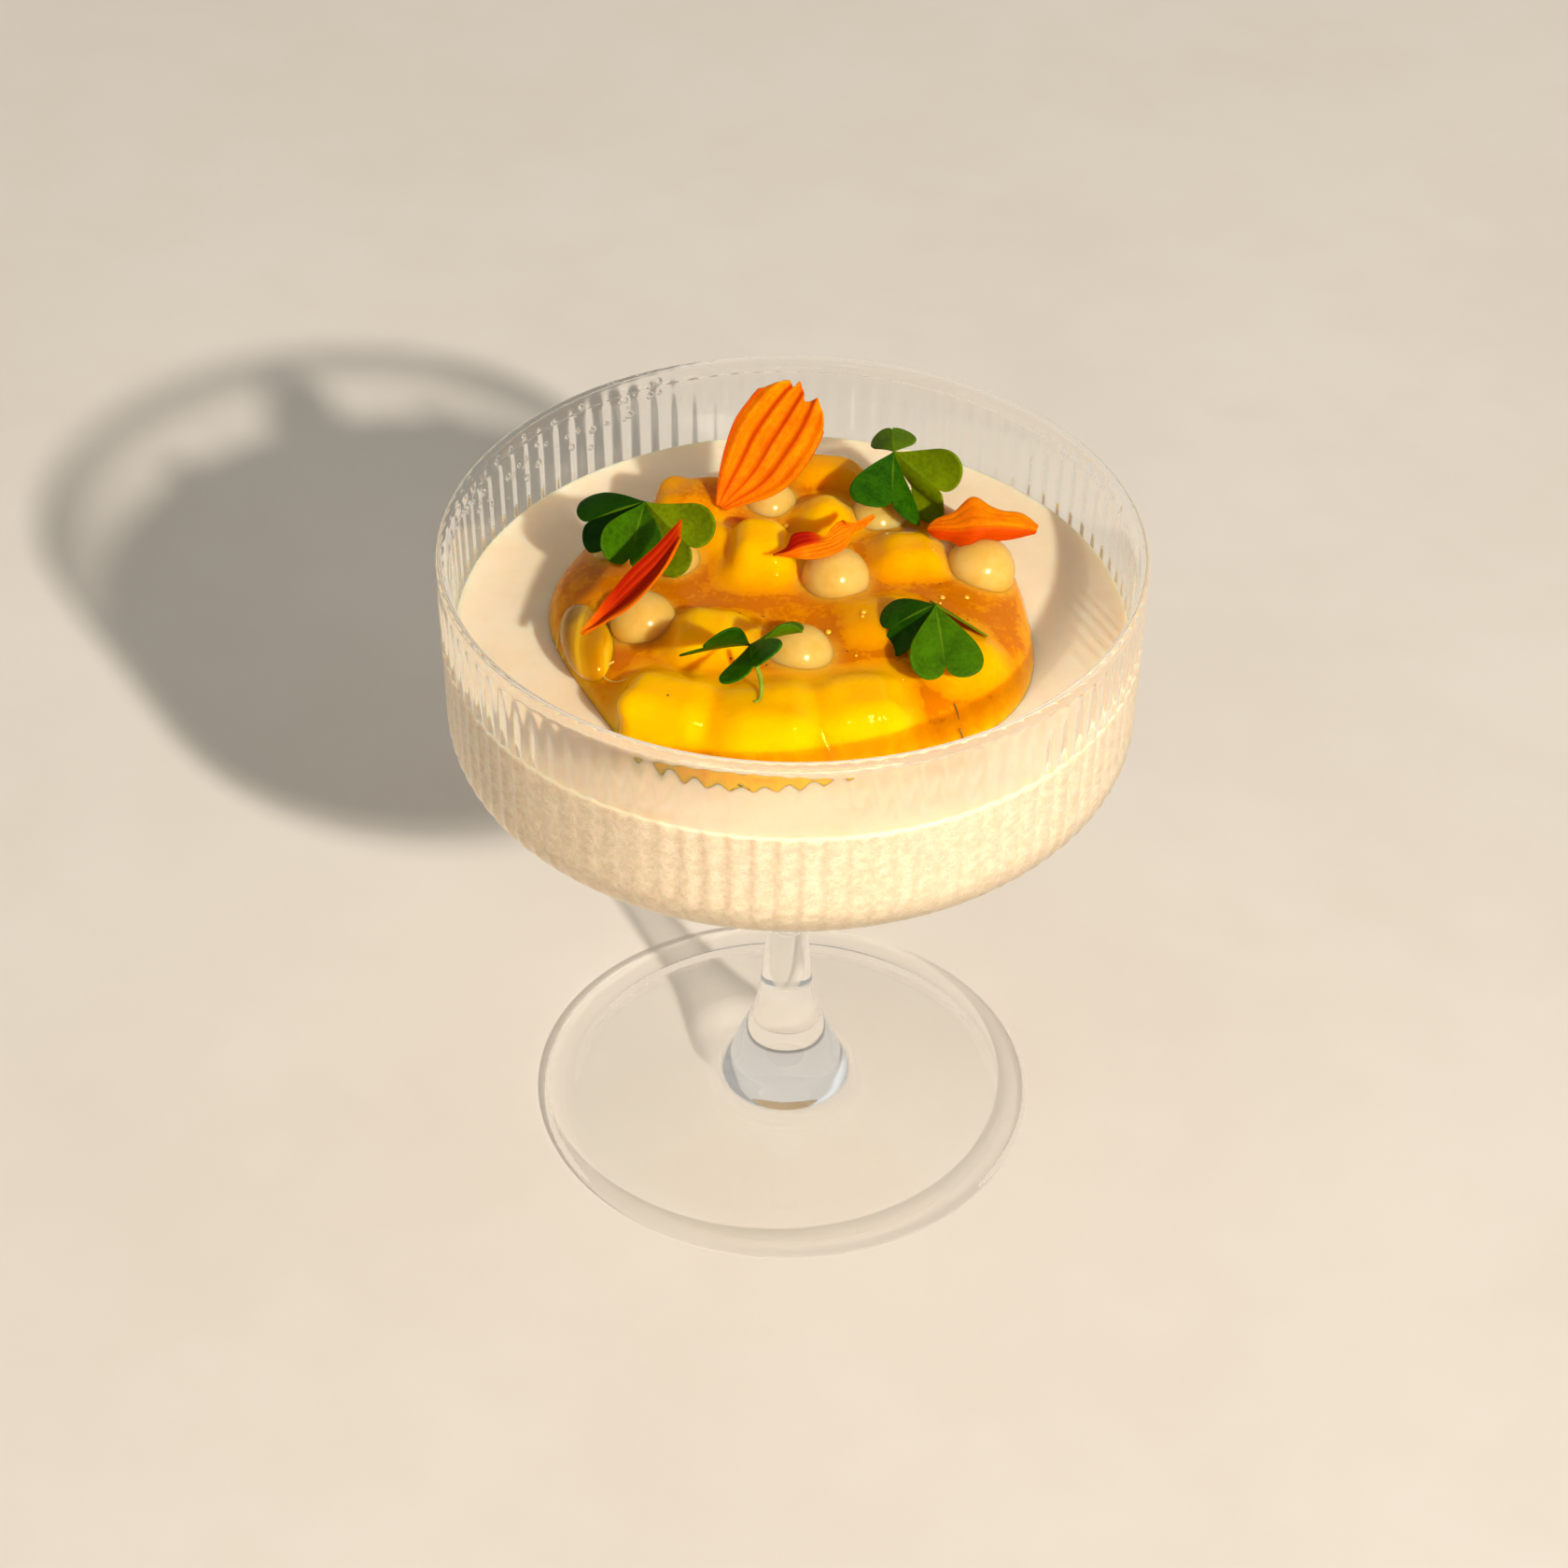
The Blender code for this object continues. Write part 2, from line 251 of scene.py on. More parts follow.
# %% Wandering tone
def wandering_tone():
    group, given, out = effect(
        "wandering tone",
        [("Place", "vector", None), ("Patches per metre", "value", 200.0),
         ("Light", "colour", (1, 1, 1, 1)), ("Dark", "colour", (0, 0, 0, 1)),
         ("Fine share", "value", 0.3)],
        [("Colour", "colour"), ("Mask", "value")],
    )
    noises = []
    for detail, times in ((3.0, 1.0), (4.0, 5.0)):
        scale = product(group, given["Patches per metre"], times)
        inputs = {"Vector": given["Place"], "Scale": scale, "Detail": detail}
        noises.append(node(group, "ShaderNodeTexNoise", inputs).outputs["Fac"])
    inputs = {0: given["Fine share"], 2: noises[0], 3: noises[1]}
    mixed = node(group, "ShaderNodeMix", inputs, data_type="FLOAT").outputs[0]
    mask = soft_step(group, mixed, 0.34, 0.66)
    join(group, blend_colours(group, mask, given["Dark"], given["Light"]), out["Colour"])
    join(group, mask, out["Mask"])
    return group


# %% Fine grain
def fine_grain():
    group, given, out = effect(
        "fine grain",
        [("Place", "vector", None), ("Grains per metre", "value", 1500.0),
         ("Swell per metre", "value", 150.0), ("Swell share", "value", 0.5)],
        [("Height", "value")],
    )
    noises = []
    for scale, detail in (("Grains per metre", 2.0), ("Swell per metre", 1.0)):
        inputs = {"Vector": given["Place"], "Scale": given[scale], "Detail": detail}
        noises.append(node(group, "ShaderNodeTexNoise", inputs).outputs["Fac"])
    inputs = {0: given["Swell share"], 2: noises[0], 3: noises[1]}
    join(group, node(group, "ShaderNodeMix", inputs, data_type="FLOAT").outputs[0], out["Height"])
    return group


TONE = wandering_tone()
GRAIN = fine_grain()


def wandering(tree, place, patches, light, dark, fine_share):
    """A colour that wanders between a light one and a dark one."""
    return use(tree, TONE, Place=place, Patches_per_metre=patches, Light=colour(*light),
               Dark=colour(*dark), Fine_share=fine_share)["Colour"]


def grain_on(tree, shader, place, grains, swell, swell_share, strength, distance_mm):
    """Lifts and sinks a surface by fine grain and a slower swell."""
    ripple = use(tree, GRAIN, Place=place, Grains_per_metre=grains, Swell_per_metre=swell,
                 Swell_share=swell_share)
    raise_surface(tree, shader, ripple["Height"], strength, distance_mm)


print("shared effects:", TONE.name, "and", GRAIN.name)


# %% [markdown]
# ## Making and handing over a piece
#
# Every piece is made the same way in the end: points and faces become a mesh, the mesh gets
# its material, and the piece is set on the body it rides on, while the solid it stands for is
# hidden and named in the printout. One function does the last part for all of them.

# %% Piece helpers
def add_piece(name, points_mm, faces, finish):
    mesh = bpy.data.meshes.new(name)
    mesh.from_pydata((np.asarray(points_mm, float) * MM).tolist(), [], faces)
    return add_mesh(name, mesh, finish)


def add_mesh(name, mesh, finish):
    mesh.name = name
    mesh.materials.clear()
    mesh.materials.append(finish)
    mesh.shade_smooth()
    return stand(name, mesh)


def hand_over(piece, slot, *nodes):
    """Rides the piece on the dessert's one body and says what it stands for."""
    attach(piece, "root")
    if nodes:
        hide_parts(*nodes)
    triangles = sum(len(face.vertices) - 2 for face in piece.data.polygons)
    print(f"{piece.name}: {triangles} triangles, stands for {', '.join(nodes) or 'no solid'}")
    return piece


def smooth_line(points, count):
    """A smooth curve through a few points, as count points evenly spread in the parameter."""
    points = np.asarray(points, float)
    ends = np.vstack((2 * points[0] - points[1], points, 2 * points[-1] - points[-2]))
    places = np.linspace(0, len(points) - 1 - 1e-9, count)
    first = places.astype(int)
    t = (places - first)[:, None]
    p0, p1, p2, p3 = (ends[first + step] for step in range(4))
    bend = 2 * p0 - 5 * p1 + 4 * p2 - p3
    twist = -p0 + 3 * p1 - 3 * p2 + p3
    return 0.5 * (2 * p1 + (p2 - p0) * t + bend * t**2 + twist * t**3)


# %% [markdown]
# ## Geometry Nodes helpers
#
# Ribs round a bowl and specks on a surface repeat by a rule, which is what Geometry Nodes are
# for. A tree is built here in code, put on an object as a modifier, evaluated once, and the
# result is kept as a plain mesh, so nothing is left that could change later.

# %% Geometry tree helpers
def geometry_tree(name, inputs):
    """An empty geometry tree; gives what comes in and what goes out."""
    group = bpy.data.node_groups.new(name, "GeometryNodeTree")
    for way in ("INPUT", "OUTPUT"):
        group.interface.new_socket("Geometry", in_out=way, socket_type="NodeSocketGeometry")
    kinds = {float: "NodeSocketFloat", int: "NodeSocketInt"}
    for socket_name, value in inputs.items():
        socket = group.interface.new_socket(
            socket_name, in_out="INPUT", socket_type=kinds[type(value)])
        socket.default_value = value
    print("geometry tree:", name, "with", ", ".join(inputs))
    return group, node(group, "NodeGroupInput").outputs, node(group, "NodeGroupOutput").inputs


def close_tree(group, geometry, out, finish):
    """The last two nodes of every tree: real geometry instead of instances, and the finish."""
    real = node(group, "GeometryNodeRealizeInstances", {0: geometry})
    inputs = {"Geometry": real.outputs[0], "Material": finish}
    join(group, node(group, "GeometryNodeSetMaterial", inputs).outputs[0], out["Geometry"])


def grow(piece, group, **values):
    """Runs a tree on a piece and gives the result back as a plain mesh."""
    modifier = piece.modifiers.new("grown", "NODES")
    modifier.node_group = group
    for item in group.interface.items_tree:
        wanted = item.name.replace(" ", "_")
        if item.in_out == "INPUT" and wanted in values:
            modifier[item.identifier] = values[wanted]
    graph = bpy.context.evaluated_depsgraph_get()
    mesh = bpy.data.meshes.new_from_object(piece.evaluated_get(graph))
    piece.modifiers.remove(modifier)
    return mesh


# %% [markdown]
# ## Clear glass
#
# The coupe is colourless glass, blown into a mould that leaves close upright ribs on the
# outside. The shader is a plain Principled glass. Real glass lets the light through to the
# table and the food, which a path tracer finds very slowly, so for rays that only gather
# light the glass turns nearly see-through. It holds back a share of them: more where it is
# seen edge-on, at the lip, in the stem and at the foot's edge, and in stripes at the ribs. A
# ray that is caught inside the lip goes straight on in the end.

# %% Glass material
RIB_COUNT = 96
WALL_SHADE = 0.04
RIB_SHADE = 0.10
LIP_SHADE = 0.38
STEM_SHADE = 0.22
FREE_WALL_SHADE = 0.06
FOOT_EDGE_SHADE = 0.42
EDGE_ON_SHADE = 0.36
FOOT_EDGE_ON_SHARE = 0.3
FOOT_TOP = 9.0
FOOT_EDGE_RADIUS = 36.6
STEM_TOP = 70.0
RIBS_FROM = 76.0
LIP_HEIGHT = 4.6


def clear_glass():
    made, tree, shader, place = new_finish("clear glass")
    level, angle = parts_of(tree, place)[2:]
    wave = maths(tree, "COSINE", product(tree, angle, float(RIB_COUNT)))
    held = product(tree, product(tree, wave, RIB_SHADE), above(tree, level, RIBS_FROM * MM))
    in_foot = maths(tree, "LESS_THAN", level, FOOT_TOP * MM)
    not_foot = above(tree, level, FOOT_TOP * MM)
    in_stem = product(tree, not_foot, maths(tree, "LESS_THAN", level, STEM_TOP * MM))
    outward = node(tree, "ShaderNodeVectorMath", {0: place}, operation="LENGTH").outputs["Value"]
    shades = (
        (above(tree, level, (GLASS_HEIGHT - LIP_HEIGHT) * MM), LIP_SHADE),
        (in_stem, STEM_SHADE),
        (above(tree, level, CREAM_LEVEL * MM), FREE_WALL_SHADE),
        (product(tree, above(tree, outward, FOOT_EDGE_RADIUS * MM), in_foot), FOOT_EDGE_SHADE),
    )
    for zone, shade in shades:
        held = maths(tree, "ADD", held, product(tree, zone, shade))
    edge_on = node(tree, "ShaderNodeLayerWeight", {"Blend": 0.5}).outputs["Facing"]
    lost = product(tree, soft_step(tree, edge_on, 0.2, 0.6, EDGE_ON_SHADE),
                   maths(tree, "MAXIMUM", not_foot, FOOT_EDGE_ON_SHARE))
    held = maths(tree, "ADD", held, maths(tree, "ADD", lost, WALL_SHADE), clamp=True)
    paths = node(tree, "ShaderNodeLightPath").outputs
    gathering = maths(tree, "MAXIMUM", paths["Is Shadow Ray"], paths["Is Diffuse Ray"])
    solid = maths(tree, "MAXIMUM", maths(tree, "SUBTRACT", 1.0, gathering), held)
    free = maths(tree, "SUBTRACT", 1.0, above(tree, paths["Glossy Depth"], 1.5))
    finish_with(tree, shader, (0.985, 0.992, 0.985, 1.0), Roughness=0.0, IOR=1.5,
                Transmission_Weight=1.0)
    join(tree, product(tree, solid, free), shader.inputs["Alpha"])
    grain_on(tree, shader, place, 260.0, 60.0, 0.6, 0.25, 0.12)
    return made


GLASS = clear_glass()


# %% [markdown]
# ## The coupe
#
# Its outline is turned about the middle, as glass is on a pipe: a broad thin foot, hollow
# underneath, a solid stem, and a shallow bowl with a thick base and a fire-polished lip. The
# outline is a few points with a smooth curve through each stretch. The ribs then come from a
# Geometry Nodes tree that pushes the outer wall in and out with the angle, fading towards the
# base and the lip, because one rule makes all ninety-six alike.

# %% Turning an outline
FOOT_SIDES = 240
BOWL_SIDES = 10 * RIB_COUNT


def turned_rings(rows):
    """Points and faces of an outline turned about Z; rows are (radius, z, sides).

    A row may have four times the sides of its neighbour: each wide side then meets four.
    """
    points, rings, faces = [], [], []
    for radius, z, sides in rows:
        count = sides if radius else 1
        angles = np.arange(count) * 2 * math.pi / sides
        rings.append((len(points), count))
        points.extend(zip(radius * np.cos(angles), radius * np.sin(angles), [z] * count))
    for (a, wide), (b, narrow) in zip(rings, rings[1:]):
        few, many = sorted((wide, narrow))
        for side in range(many if few == 1 else few):
            if few == 1:
                after = (side + 1) % many
                faces.append((a, b + after, b + side) if wide == 1 else (a + side, a + after, b))
                continue
            after = (side + 1) % few
            fine = [(many // few * side + step) % many for step in range(many // few + 1)]
            if wide < narrow:
                faces.append((a + side, a + after, *(b + step for step in fine[::-1])))
            else:
                faces.append((*(a + step for step in fine), b + after, b + side))
    return points, faces


def stretch(points, count, sides):
    """Rows along a smooth curve through a few (radius, z) points of the outline."""
    return [(max(radius, 0.0), z, sides) for radius, z in smooth_line(points, count)]


def rounded(centre_radius, centre_z, radius, start, end, count, sides):
    angles = np.radians(np.linspace(start, end, count))
    return [(centre_radius + radius * math.cos(a), centre_z + radius * math.sin(a), sides)
            for a in angles]


print("a cone of 8 sides has", len(turned_rings([(0, 0, 8), (1, 0, 8), (0, 1, 8)])[1]), "faces")


# %% The coupe's outline
FOOT_RADIUS = 39.0
LIP_THICKNESS = 1.3
WALL_TAPER = 0.026
CORNER_RADIUS = 7.0
CORNER_Z = 81.0
INNER_CORNER_RADIUS = 6.0
INNER_CORNER_Z = 82.2
WALL_THICKNESS = 1.35
INNER_LEAN = 0.03
LIP_Z = GLASS_HEIGHT - 0.65

wall_foot = RIM_RADIUS - WALL_TAPER * (GLASS_HEIGHT - CORNER_Z)
inner_wall = RIM_RADIUS - LIP_THICKNESS - WALL_THICKNESS


def inner_radius(z):
    """The radius of the bowl's inside, above its rounded corner."""
    return inner_wall + INNER_LEAN * (z - INNER_CORNER_Z)


under_foot = stretch([(0, 3.4), (15, 3.0), (30, 1.4), (35.0, 0.05)], 16, FOOT_SIDES)
foot_edge = stretch([(35.5, 0.0), (37.3, 0.0), (38.6, 0.4), (FOOT_RADIUS, 1.2), (38.6, 2.0),
                     (37.4, 2.5)], 16, FOOT_SIDES)
over_foot = stretch([(36.5, 2.62), (24.0, 3.9), (13.0, 5.2), (9.6, 7.8), (7.4, 12.8),
                     (5.4, 18.0), (4.2, 24.0), (3.3, 34.0)], 34, FOOT_SIDES)
stem = stretch([(3.25, 36.0), (3.2, 47.0), (3.3, 58.0), (3.7, 63.0), (4.6, 66.5), (7.2, 69.4),
                (12.0, 70.8), (18.0, 71.6)], 24, FOOT_SIDES)
under_bowl = stretch([(20.0, 71.8), (30.0, 72.6), (40.0, 73.7)], 7, BOWL_SIDES)
corner = rounded(wall_foot - CORNER_RADIUS, CORNER_Z, CORNER_RADIUS, -78, 0, 12, BOWL_SIDES)
outer_wall = stretch([(wall_foot + 0.05, CORNER_Z + 2), (RIM_RADIUS - 0.05, LIP_Z - 0.6)],
                     12, BOWL_SIDES)
lip_middle = RIM_RADIUS - LIP_THICKNESS / 2
lip = rounded(lip_middle, LIP_Z, LIP_THICKNESS / 2, 0, 180, 9, BOWL_SIDES)
inner_side = stretch([(inner_radius(LIP_Z - 1.5) + 0.3, LIP_Z - 1.5), (inner_radius(103.5), 103.5),
                      (inner_radius(INNER_CORNER_Z + 1), INNER_CORNER_Z + 1)], 10, BOWL_SIDES)
inner_corner = rounded(inner_wall - INNER_CORNER_RADIUS, INNER_CORNER_Z, INNER_CORNER_RADIUS,
                       0, -84, 8, BOWL_SIDES)
inner_floor = stretch([(40.0, 76.1), (25.0, 75.4), (0.0, 74.2)], 8, FOOT_SIDES)
glass_rows = (under_foot + foot_edge + over_foot + stem + under_bowl + corner + outer_wall
              + lip + inner_side + inner_corner + inner_floor)
glass_points, glass_faces = turned_rings(glass_rows)
glass_blank = add_piece("coupe_blank", glass_points, glass_faces, GLASS)
print("outline rows:", len(glass_rows), "points:", len(glass_points))


# %% Ribs by a geometry tree
def rib_tree():
    group, given, out = geometry_tree("coupe ribs", {
        "Rib count": RIB_COUNT, "Rib depth": 0.15 * MM, "Base z": 0.0, "Full z": 0.0,
        "Lip z": 0.0, "Inner radius": 0.0})
    x, y, z, angle = parts_of(group, node(group, "GeometryNodeInputPosition").outputs[0])
    wave = maths(group, "COSINE", product(group, angle, given["Rib count"]))
    rising = soft_step(group, z, given["Base z"], given["Full z"])
    at_lip = maths(group, "SUBTRACT", given["Lip z"], 1.5 * MM)
    ending = soft_step(group, z, at_lip, maths(group, "SUBTRACT", given["Lip z"], 5.0 * MM))
    flat = node(group, "ShaderNodeCombineXYZ", {0: x, 1: y}).outputs[0]
    reach = node(group, "ShaderNodeVectorMath", {0: flat}, operation="LENGTH").outputs["Value"]
    away = node(group, "ShaderNodeVectorMath", {0: flat}, operation="NORMALIZE").outputs[0]
    limit = maths(group, "ADD", given["Inner radius"], product(group, z, INNER_LEAN))
    share = product(group, product(group, rising, ending), above(group, reach, limit))
    size = product(group, product(group, wave, given["Rib depth"]), share)
    push = node(group, "ShaderNodeVectorMath", {0: away, "Scale": size}, operation="SCALE")
    moved = node(group, "GeometryNodeSetPosition",
                 {"Geometry": given["Geometry"], "Offset": push.outputs[0]})
    close_tree(group, moved.outputs[0], out, GLASS)
    return group


coupe_mesh = grow(
    glass_blank, rib_tree(), Rib_count=RIB_COUNT, Rib_depth=0.15 * MM, Base_z=74.5 * MM,
    Full_z=79.0 * MM, Lip_z=LIP_Z * MM,
    Inner_radius=(inner_radius(0.0) + 0.7) * MM)
bpy.data.objects.remove(glass_blank)
coupe = hand_over(add_mesh("coupe_glass", coupe_mesh, GLASS), "clear_glass", "glass")


# %% [markdown]
# ## The set cream
#
# Panna cotta is cream set with gelatine: dense, ivory, and so full of fat that light goes a
# few millimetres in before it comes out again. That is subsurface scattering. Its body is
# turned too. It reaches a hair into the glass, as a poured filling wets its wall, and its top
# has a low rim where it climbed the glass, and faint dimples.

# %% Cream material
def set_cream():
    made, tree, shader, place = new_finish("set cream")
    top = wandering(tree, place, 90.0, (246, 224, 190), (240, 216, 178), 0.25)
    level, angle = parts_of(tree, place)[2:]
    # Painted shade: the side seen through the ribbed wall is darker than the top, with stripes of
    # painted shade that follow the ribs.
    rib_shade_wave = maths(tree, "COSINE", product(tree, angle, float(RIB_COUNT)))
    shaded_side_flecks = wandering(tree, place, 900.0, (240, 221, 192), (214, 194, 160), 0.5)
    shade = product(tree, maths(tree, "SUBTRACT", 0.5, rib_shade_wave), 0.12, clamp=True)
    side = blend_colours(tree, shade, shaded_side_flecks, colour(196, 166, 128))
    shaded_side = maths(tree, "LESS_THAN", level, (CREAM_LEVEL - 0.4) * MM)
    tint = blend_colours(tree, shaded_side, top, side)
    finish_with(tree, shader, tint, Subsurface_Weight=1.0, Subsurface_Radius=(1.0, 0.62, 0.34),
                Subsurface_Scale=3.0 * MM, Roughness=0.42, IOR=1.4)
    grain_on(tree, shader, place, 1600.0, 120.0, 0.6, 0.35, 0.10)
    return made


CREAM = set_cream()

# %% Cream body
CREAM_SIDES = 240
INTO_WALL = 0.12

cream_rows = [(0.0, 74.2 - INTO_WALL, CREAM_SIDES)]
cream_rows += [(r, z - INTO_WALL, s) for r, z, s in stretch([(6, 74.4), (25, 75.4), (40, 76.1)],
                                                            6, CREAM_SIDES)]
cream_rows += rounded(inner_wall - INNER_CORNER_RADIUS, INNER_CORNER_Z,
                      INNER_CORNER_RADIUS + INTO_WALL, -84, 0, 10, CREAM_SIDES)
side_heights = np.linspace(INNER_CORNER_Z + 1, CREAM_LEVEL + 0.12, 10)
cream_rows += [(inner_radius(z) + INTO_WALL, z, CREAM_SIDES) for z in side_heights]
edge = inner_radius(CREAM_LEVEL)
for inset, rise in ((0.12, 0.12), (0.4, 0.08), (0.9, 0.05), (1.7, 0.02), (3.0, 0.0)):
    cream_rows.append((edge - inset, CREAM_LEVEL + rise, CREAM_SIDES))
for radius in np.linspace(edge - 5, 2, 24):
    cream_rows.append((radius, CREAM_LEVEL, CREAM_SIDES))
cream_rows.append((0.0, CREAM_LEVEL, CREAM_SIDES))
cream_points, cream_faces = turned_rings(cream_rows)
cream_points = np.array(cream_points)
on_top = (cream_points[:, 2] > CREAM_LEVEL - 0.1) & (np.hypot(*cream_points[:, :2].T) < edge - 3.5)
dimples = (np.sin(cream_points[:, 0] / 5.1 + 1.0) * np.sin(cream_points[:, 1] / 6.3)
           + np.sin(cream_points[:, 0] / 2.3 - cream_points[:, 1] / 3.1)) * 0.03
cream_points[on_top, 2] += dimples[on_top]
hand_over(add_piece("set_cream_body", cream_points, cream_faces, CREAM), "cream", "panna_cotta")


# %% [markdown]
# ## The compote
#
# Mango cubes and pearls lie under a thick sauce that rounds every edge and fills every gap,
# so what shows is one skin. Modelling cubes and sauce apart would leave hard seams. Instead
# the whole heap is described as a distance: at each spot of a fine grid, how far it is from
# the nearest cube, pearl or sauce, with the distances melted together where they meet. The
# skin is where that distance is zero.

# %% Distances
def melt(first, second, reach):
    """The smaller of two distances, with a fillet about as wide as the reach."""
    share = np.clip(0.5 + 0.5 * (second - first) / reach, 0.0, 1.0)
    return second * (1 - share) + first * share - reach * share * (1 - share)


def wander(x, y, z, size, seed):
    """A slow, smooth unevenness, the same on every run."""
    chance = random.Random(seed)
    total = 0.0
    for _ in range(5):
        kx, ky, kz = (chance.uniform(-1, 1) / size for _ in range(3))
        total = total + np.sin(x * kx * 6.3 + y * ky * 6.3 + z * kz * 6.3 + chance.uniform(0, 6.3))
    return total / 5


def from_cube(x, y, z, low, high, turn, rounding):
    """The distance from a rounded cube given by its box corners before it was turned."""
    centre, half = (low + high) / 2, (high - low) / 2
    c, s = math.cos(turn), math.sin(turn)
    dx, dy, dz = x - centre[0], y - centre[1], z - centre[2]
    along, across = c * dx + s * dy, -s * dx + c * dy
    out = [np.abs(v) - (h - rounding) for v, h in zip((along, across, dz), half)]
    outside = np.sqrt(sum(np.maximum(v, 0) ** 2 for v in out))
    inside = np.minimum(np.maximum(np.maximum(out[0], out[1]), out[2]), 0)
    return outside + inside - rounding


def from_ball(x, y, z, centre, radius):
    return np.sqrt((x - centre[0])**2 + (y - centre[1])**2 + (z - centre[2])**2) - radius


print("from a spot at 7 mm to a ball of 5 mm:", from_ball(7.0, 0.0, 0.0, (0, 0, 0), 5.0), "mm")


# %% Cubes, pearls and sauce in the heap
CUBE_TURNS = (-18, 2, 12, -4, 0, 5, -8, 10, -6, 6, 15, 34)
CUBE_SIDES = ((12.5, 9.0), (12.0, 9.5), (10.5, 9.5), (9.0, 9.0), (8.0, 9.5), (4.0, 5.5),
              (11.0, 9.5), (5.8, 6.5), (9.5, 7.8), (8.2, 8.6), (9.0, 9.0), (9.5, 9.0))
# How much deeper the sauce's colour is made over each cube, in millimetres.
CUBE_DEEPER_TINT = (0.0, 0.0, 0.2, 0.5, 0.0, 0.8, 3.0, 0.0, 2.0, 1.2, 1.2, 1.2)
CUBE_ROUNDING = 2.9
CUBE_MELT = 4.0
PEARL_COUNT = 8
PEARL_BARE = 0.8
PEARL_MELT = 1.4
SAUCE_WAVES = ((1, 1.1, -69), (2, 1.2, 178), (4, 0.8, -80), (5, 0.8, 174))
SAUCE_MEAN_RADIUS = 36.6
SAUCE_DEPTH = 7.9
# Where the sauce was heaped higher: (x, y, how much higher, how wide).
SAUCE_HEAPS = ((-4.0, -28.5, 1.4, 11.0), (12.0, -12.0, 1.2, 8.0), (24.0, -15.0, 1.8, 9.0),
               (-14.0, 17.0, 1.5, 6.0), (5.0, 27.0, 1.2, 6.0))

cubes = []
for index, (turn, sides) in enumerate(zip(CUBE_TURNS, CUBE_SIDES)):
    low, high = box_mm(f"mango_{index + 1}")
    middle = (low + high) / 2
    half = np.array([sides[0] / 2, sides[1] / 2, (high[2] - low[2]) / 2])
    cubes.append((middle - half, middle + half, math.radians(turn)))
pearls = []
for index in range(PEARL_COUNT):
    low, high = box_mm(f"pearl_{index + 1}")
    pearls.append(((low + high) / 2, (high[2] - low[2]) / 2))
print("in the heap:", len(cubes), "cubes and", len(pearls), "pearls")


def sauce_edge(angle):
    return SAUCE_MEAN_RADIUS + sum(
        size * np.cos(times * angle - math.radians(phase)) for times, size, phase in SAUCE_WAVES)


def heap_distance(x, y, z):
    """How far a spot is from the sauced heap, in millimetres; below zero it is inside."""
    angle = np.arctan2(y, x)
    part = np.clip(np.hypot(x, y) / sauce_edge(angle), 0, 1.3)
    fall = np.clip(1 - part**4.6, 0, 1) ** 0.5
    rise = SAUCE_DEPTH * fall + 0.5 * wander(x, y, 0 * z, 14, 4)
    for at_x, at_y, higher, wide in SAUCE_HEAPS:
        far = ((x - at_x)**2 + (y - at_y)**2) / wide**2
        rise = rise + higher * np.exp(-far) * fall
    rise = np.where(part < 1, rise, -(part - 1) * 30)
    sauce = (z - CREAM_LEVEL - rise) * 0.75
    sauce = np.maximum(sauce, (np.hypot(x, y) - sauce_edge(angle)) * 0.9)
    total = sauce
    for index, (low, high, turn) in enumerate(cubes):
        uneven = 0.5 * wander(x, y, z, 8, 20 + index)
        cube = from_cube(x, y, z, low, high, turn, CUBE_ROUNDING) + uneven
        total = melt(total, cube, CUBE_MELT)
    for centre, radius in pearls:
        total = melt(total, from_ball(x, y, z, centre, radius - PEARL_BARE), PEARL_MELT)
    return total


# %% Surface nets
GRID = 0.34
REACH = 40.0
LOWEST = CREAM_LEVEL - 0.5
HIGHEST = CREAM_LEVEL + 15.0


def skin_of(field, origin, step):
    """Points and faces where a field crosses zero: a point in each crossed cell of the grid."""
    inside = field < 0
    corners = [(i, j, k) for i in (0, 1) for j in (0, 1) for k in (0, 1)]
    size = [n - 1 for n in field.shape]

    def shifted(array, i, j, k):
        return array[i:i + size[0], j:j + size[1], k:k + size[2]]

    count = sum(shifted(inside, *corner).astype(np.int8) for corner in corners)
    cells = np.argwhere((count > 0) & (count < 8))
    number = -np.ones(size, int)
    number[tuple(cells.T)] = np.arange(len(cells))
    total = np.zeros((len(cells), 3))
    hits = np.zeros(len(cells))
    values = {c: field[tuple((cells + c).T)] for c in corners}
    for first in corners:
        for axis in range(3):
            if first[axis]:
                continue
            second = tuple(v + (axis == n) for n, v in enumerate(first))
            a, b = values[first], values[second]
            crossed = (a < 0) != (b < 0)
            share = np.where(crossed, a / np.where(crossed, a - b, 1), 0)
            spot = np.array(first, float) + share[:, None] * (np.arange(3) == axis)
            total += np.where(crossed[:, None], spot, 0)
            hits += crossed
    points = origin + step * (cells + total / hits[:, None])
    faces = []
    for axis in range(3):
        side, other = (axis + 1) % 3, (axis + 2) % 3
        low = [slice(None)] * 3
        high = [slice(None)] * 3
        low[axis], high[axis] = slice(0, -1), slice(1, None)
        change = inside[tuple(low)].astype(int) - inside[tuple(high)]
        edges = np.argwhere(change != 0)
        inner = np.all((edges[:, [side, other]] > 0)
                       & (edges[:, [side, other]] < np.array(field.shape)[[side, other]] - 1), axis=1)
        edges = edges[inner]
        leaving = change[tuple(edges.T)] > 0
        quad = []
        for ds, do in ((1, 1), (0, 1), (0, 0), (1, 0)):
            cell = edges.copy()
            cell[:, side] -= ds
            cell[:, other] -= do
            quad.append(number[tuple(cell.T)])
        quad = np.stack(quad, axis=1)
        quad[leaving] = quad[leaving][:, ::-1]
        faces.append(quad[:, ::-1])
    return points, np.vstack(faces)


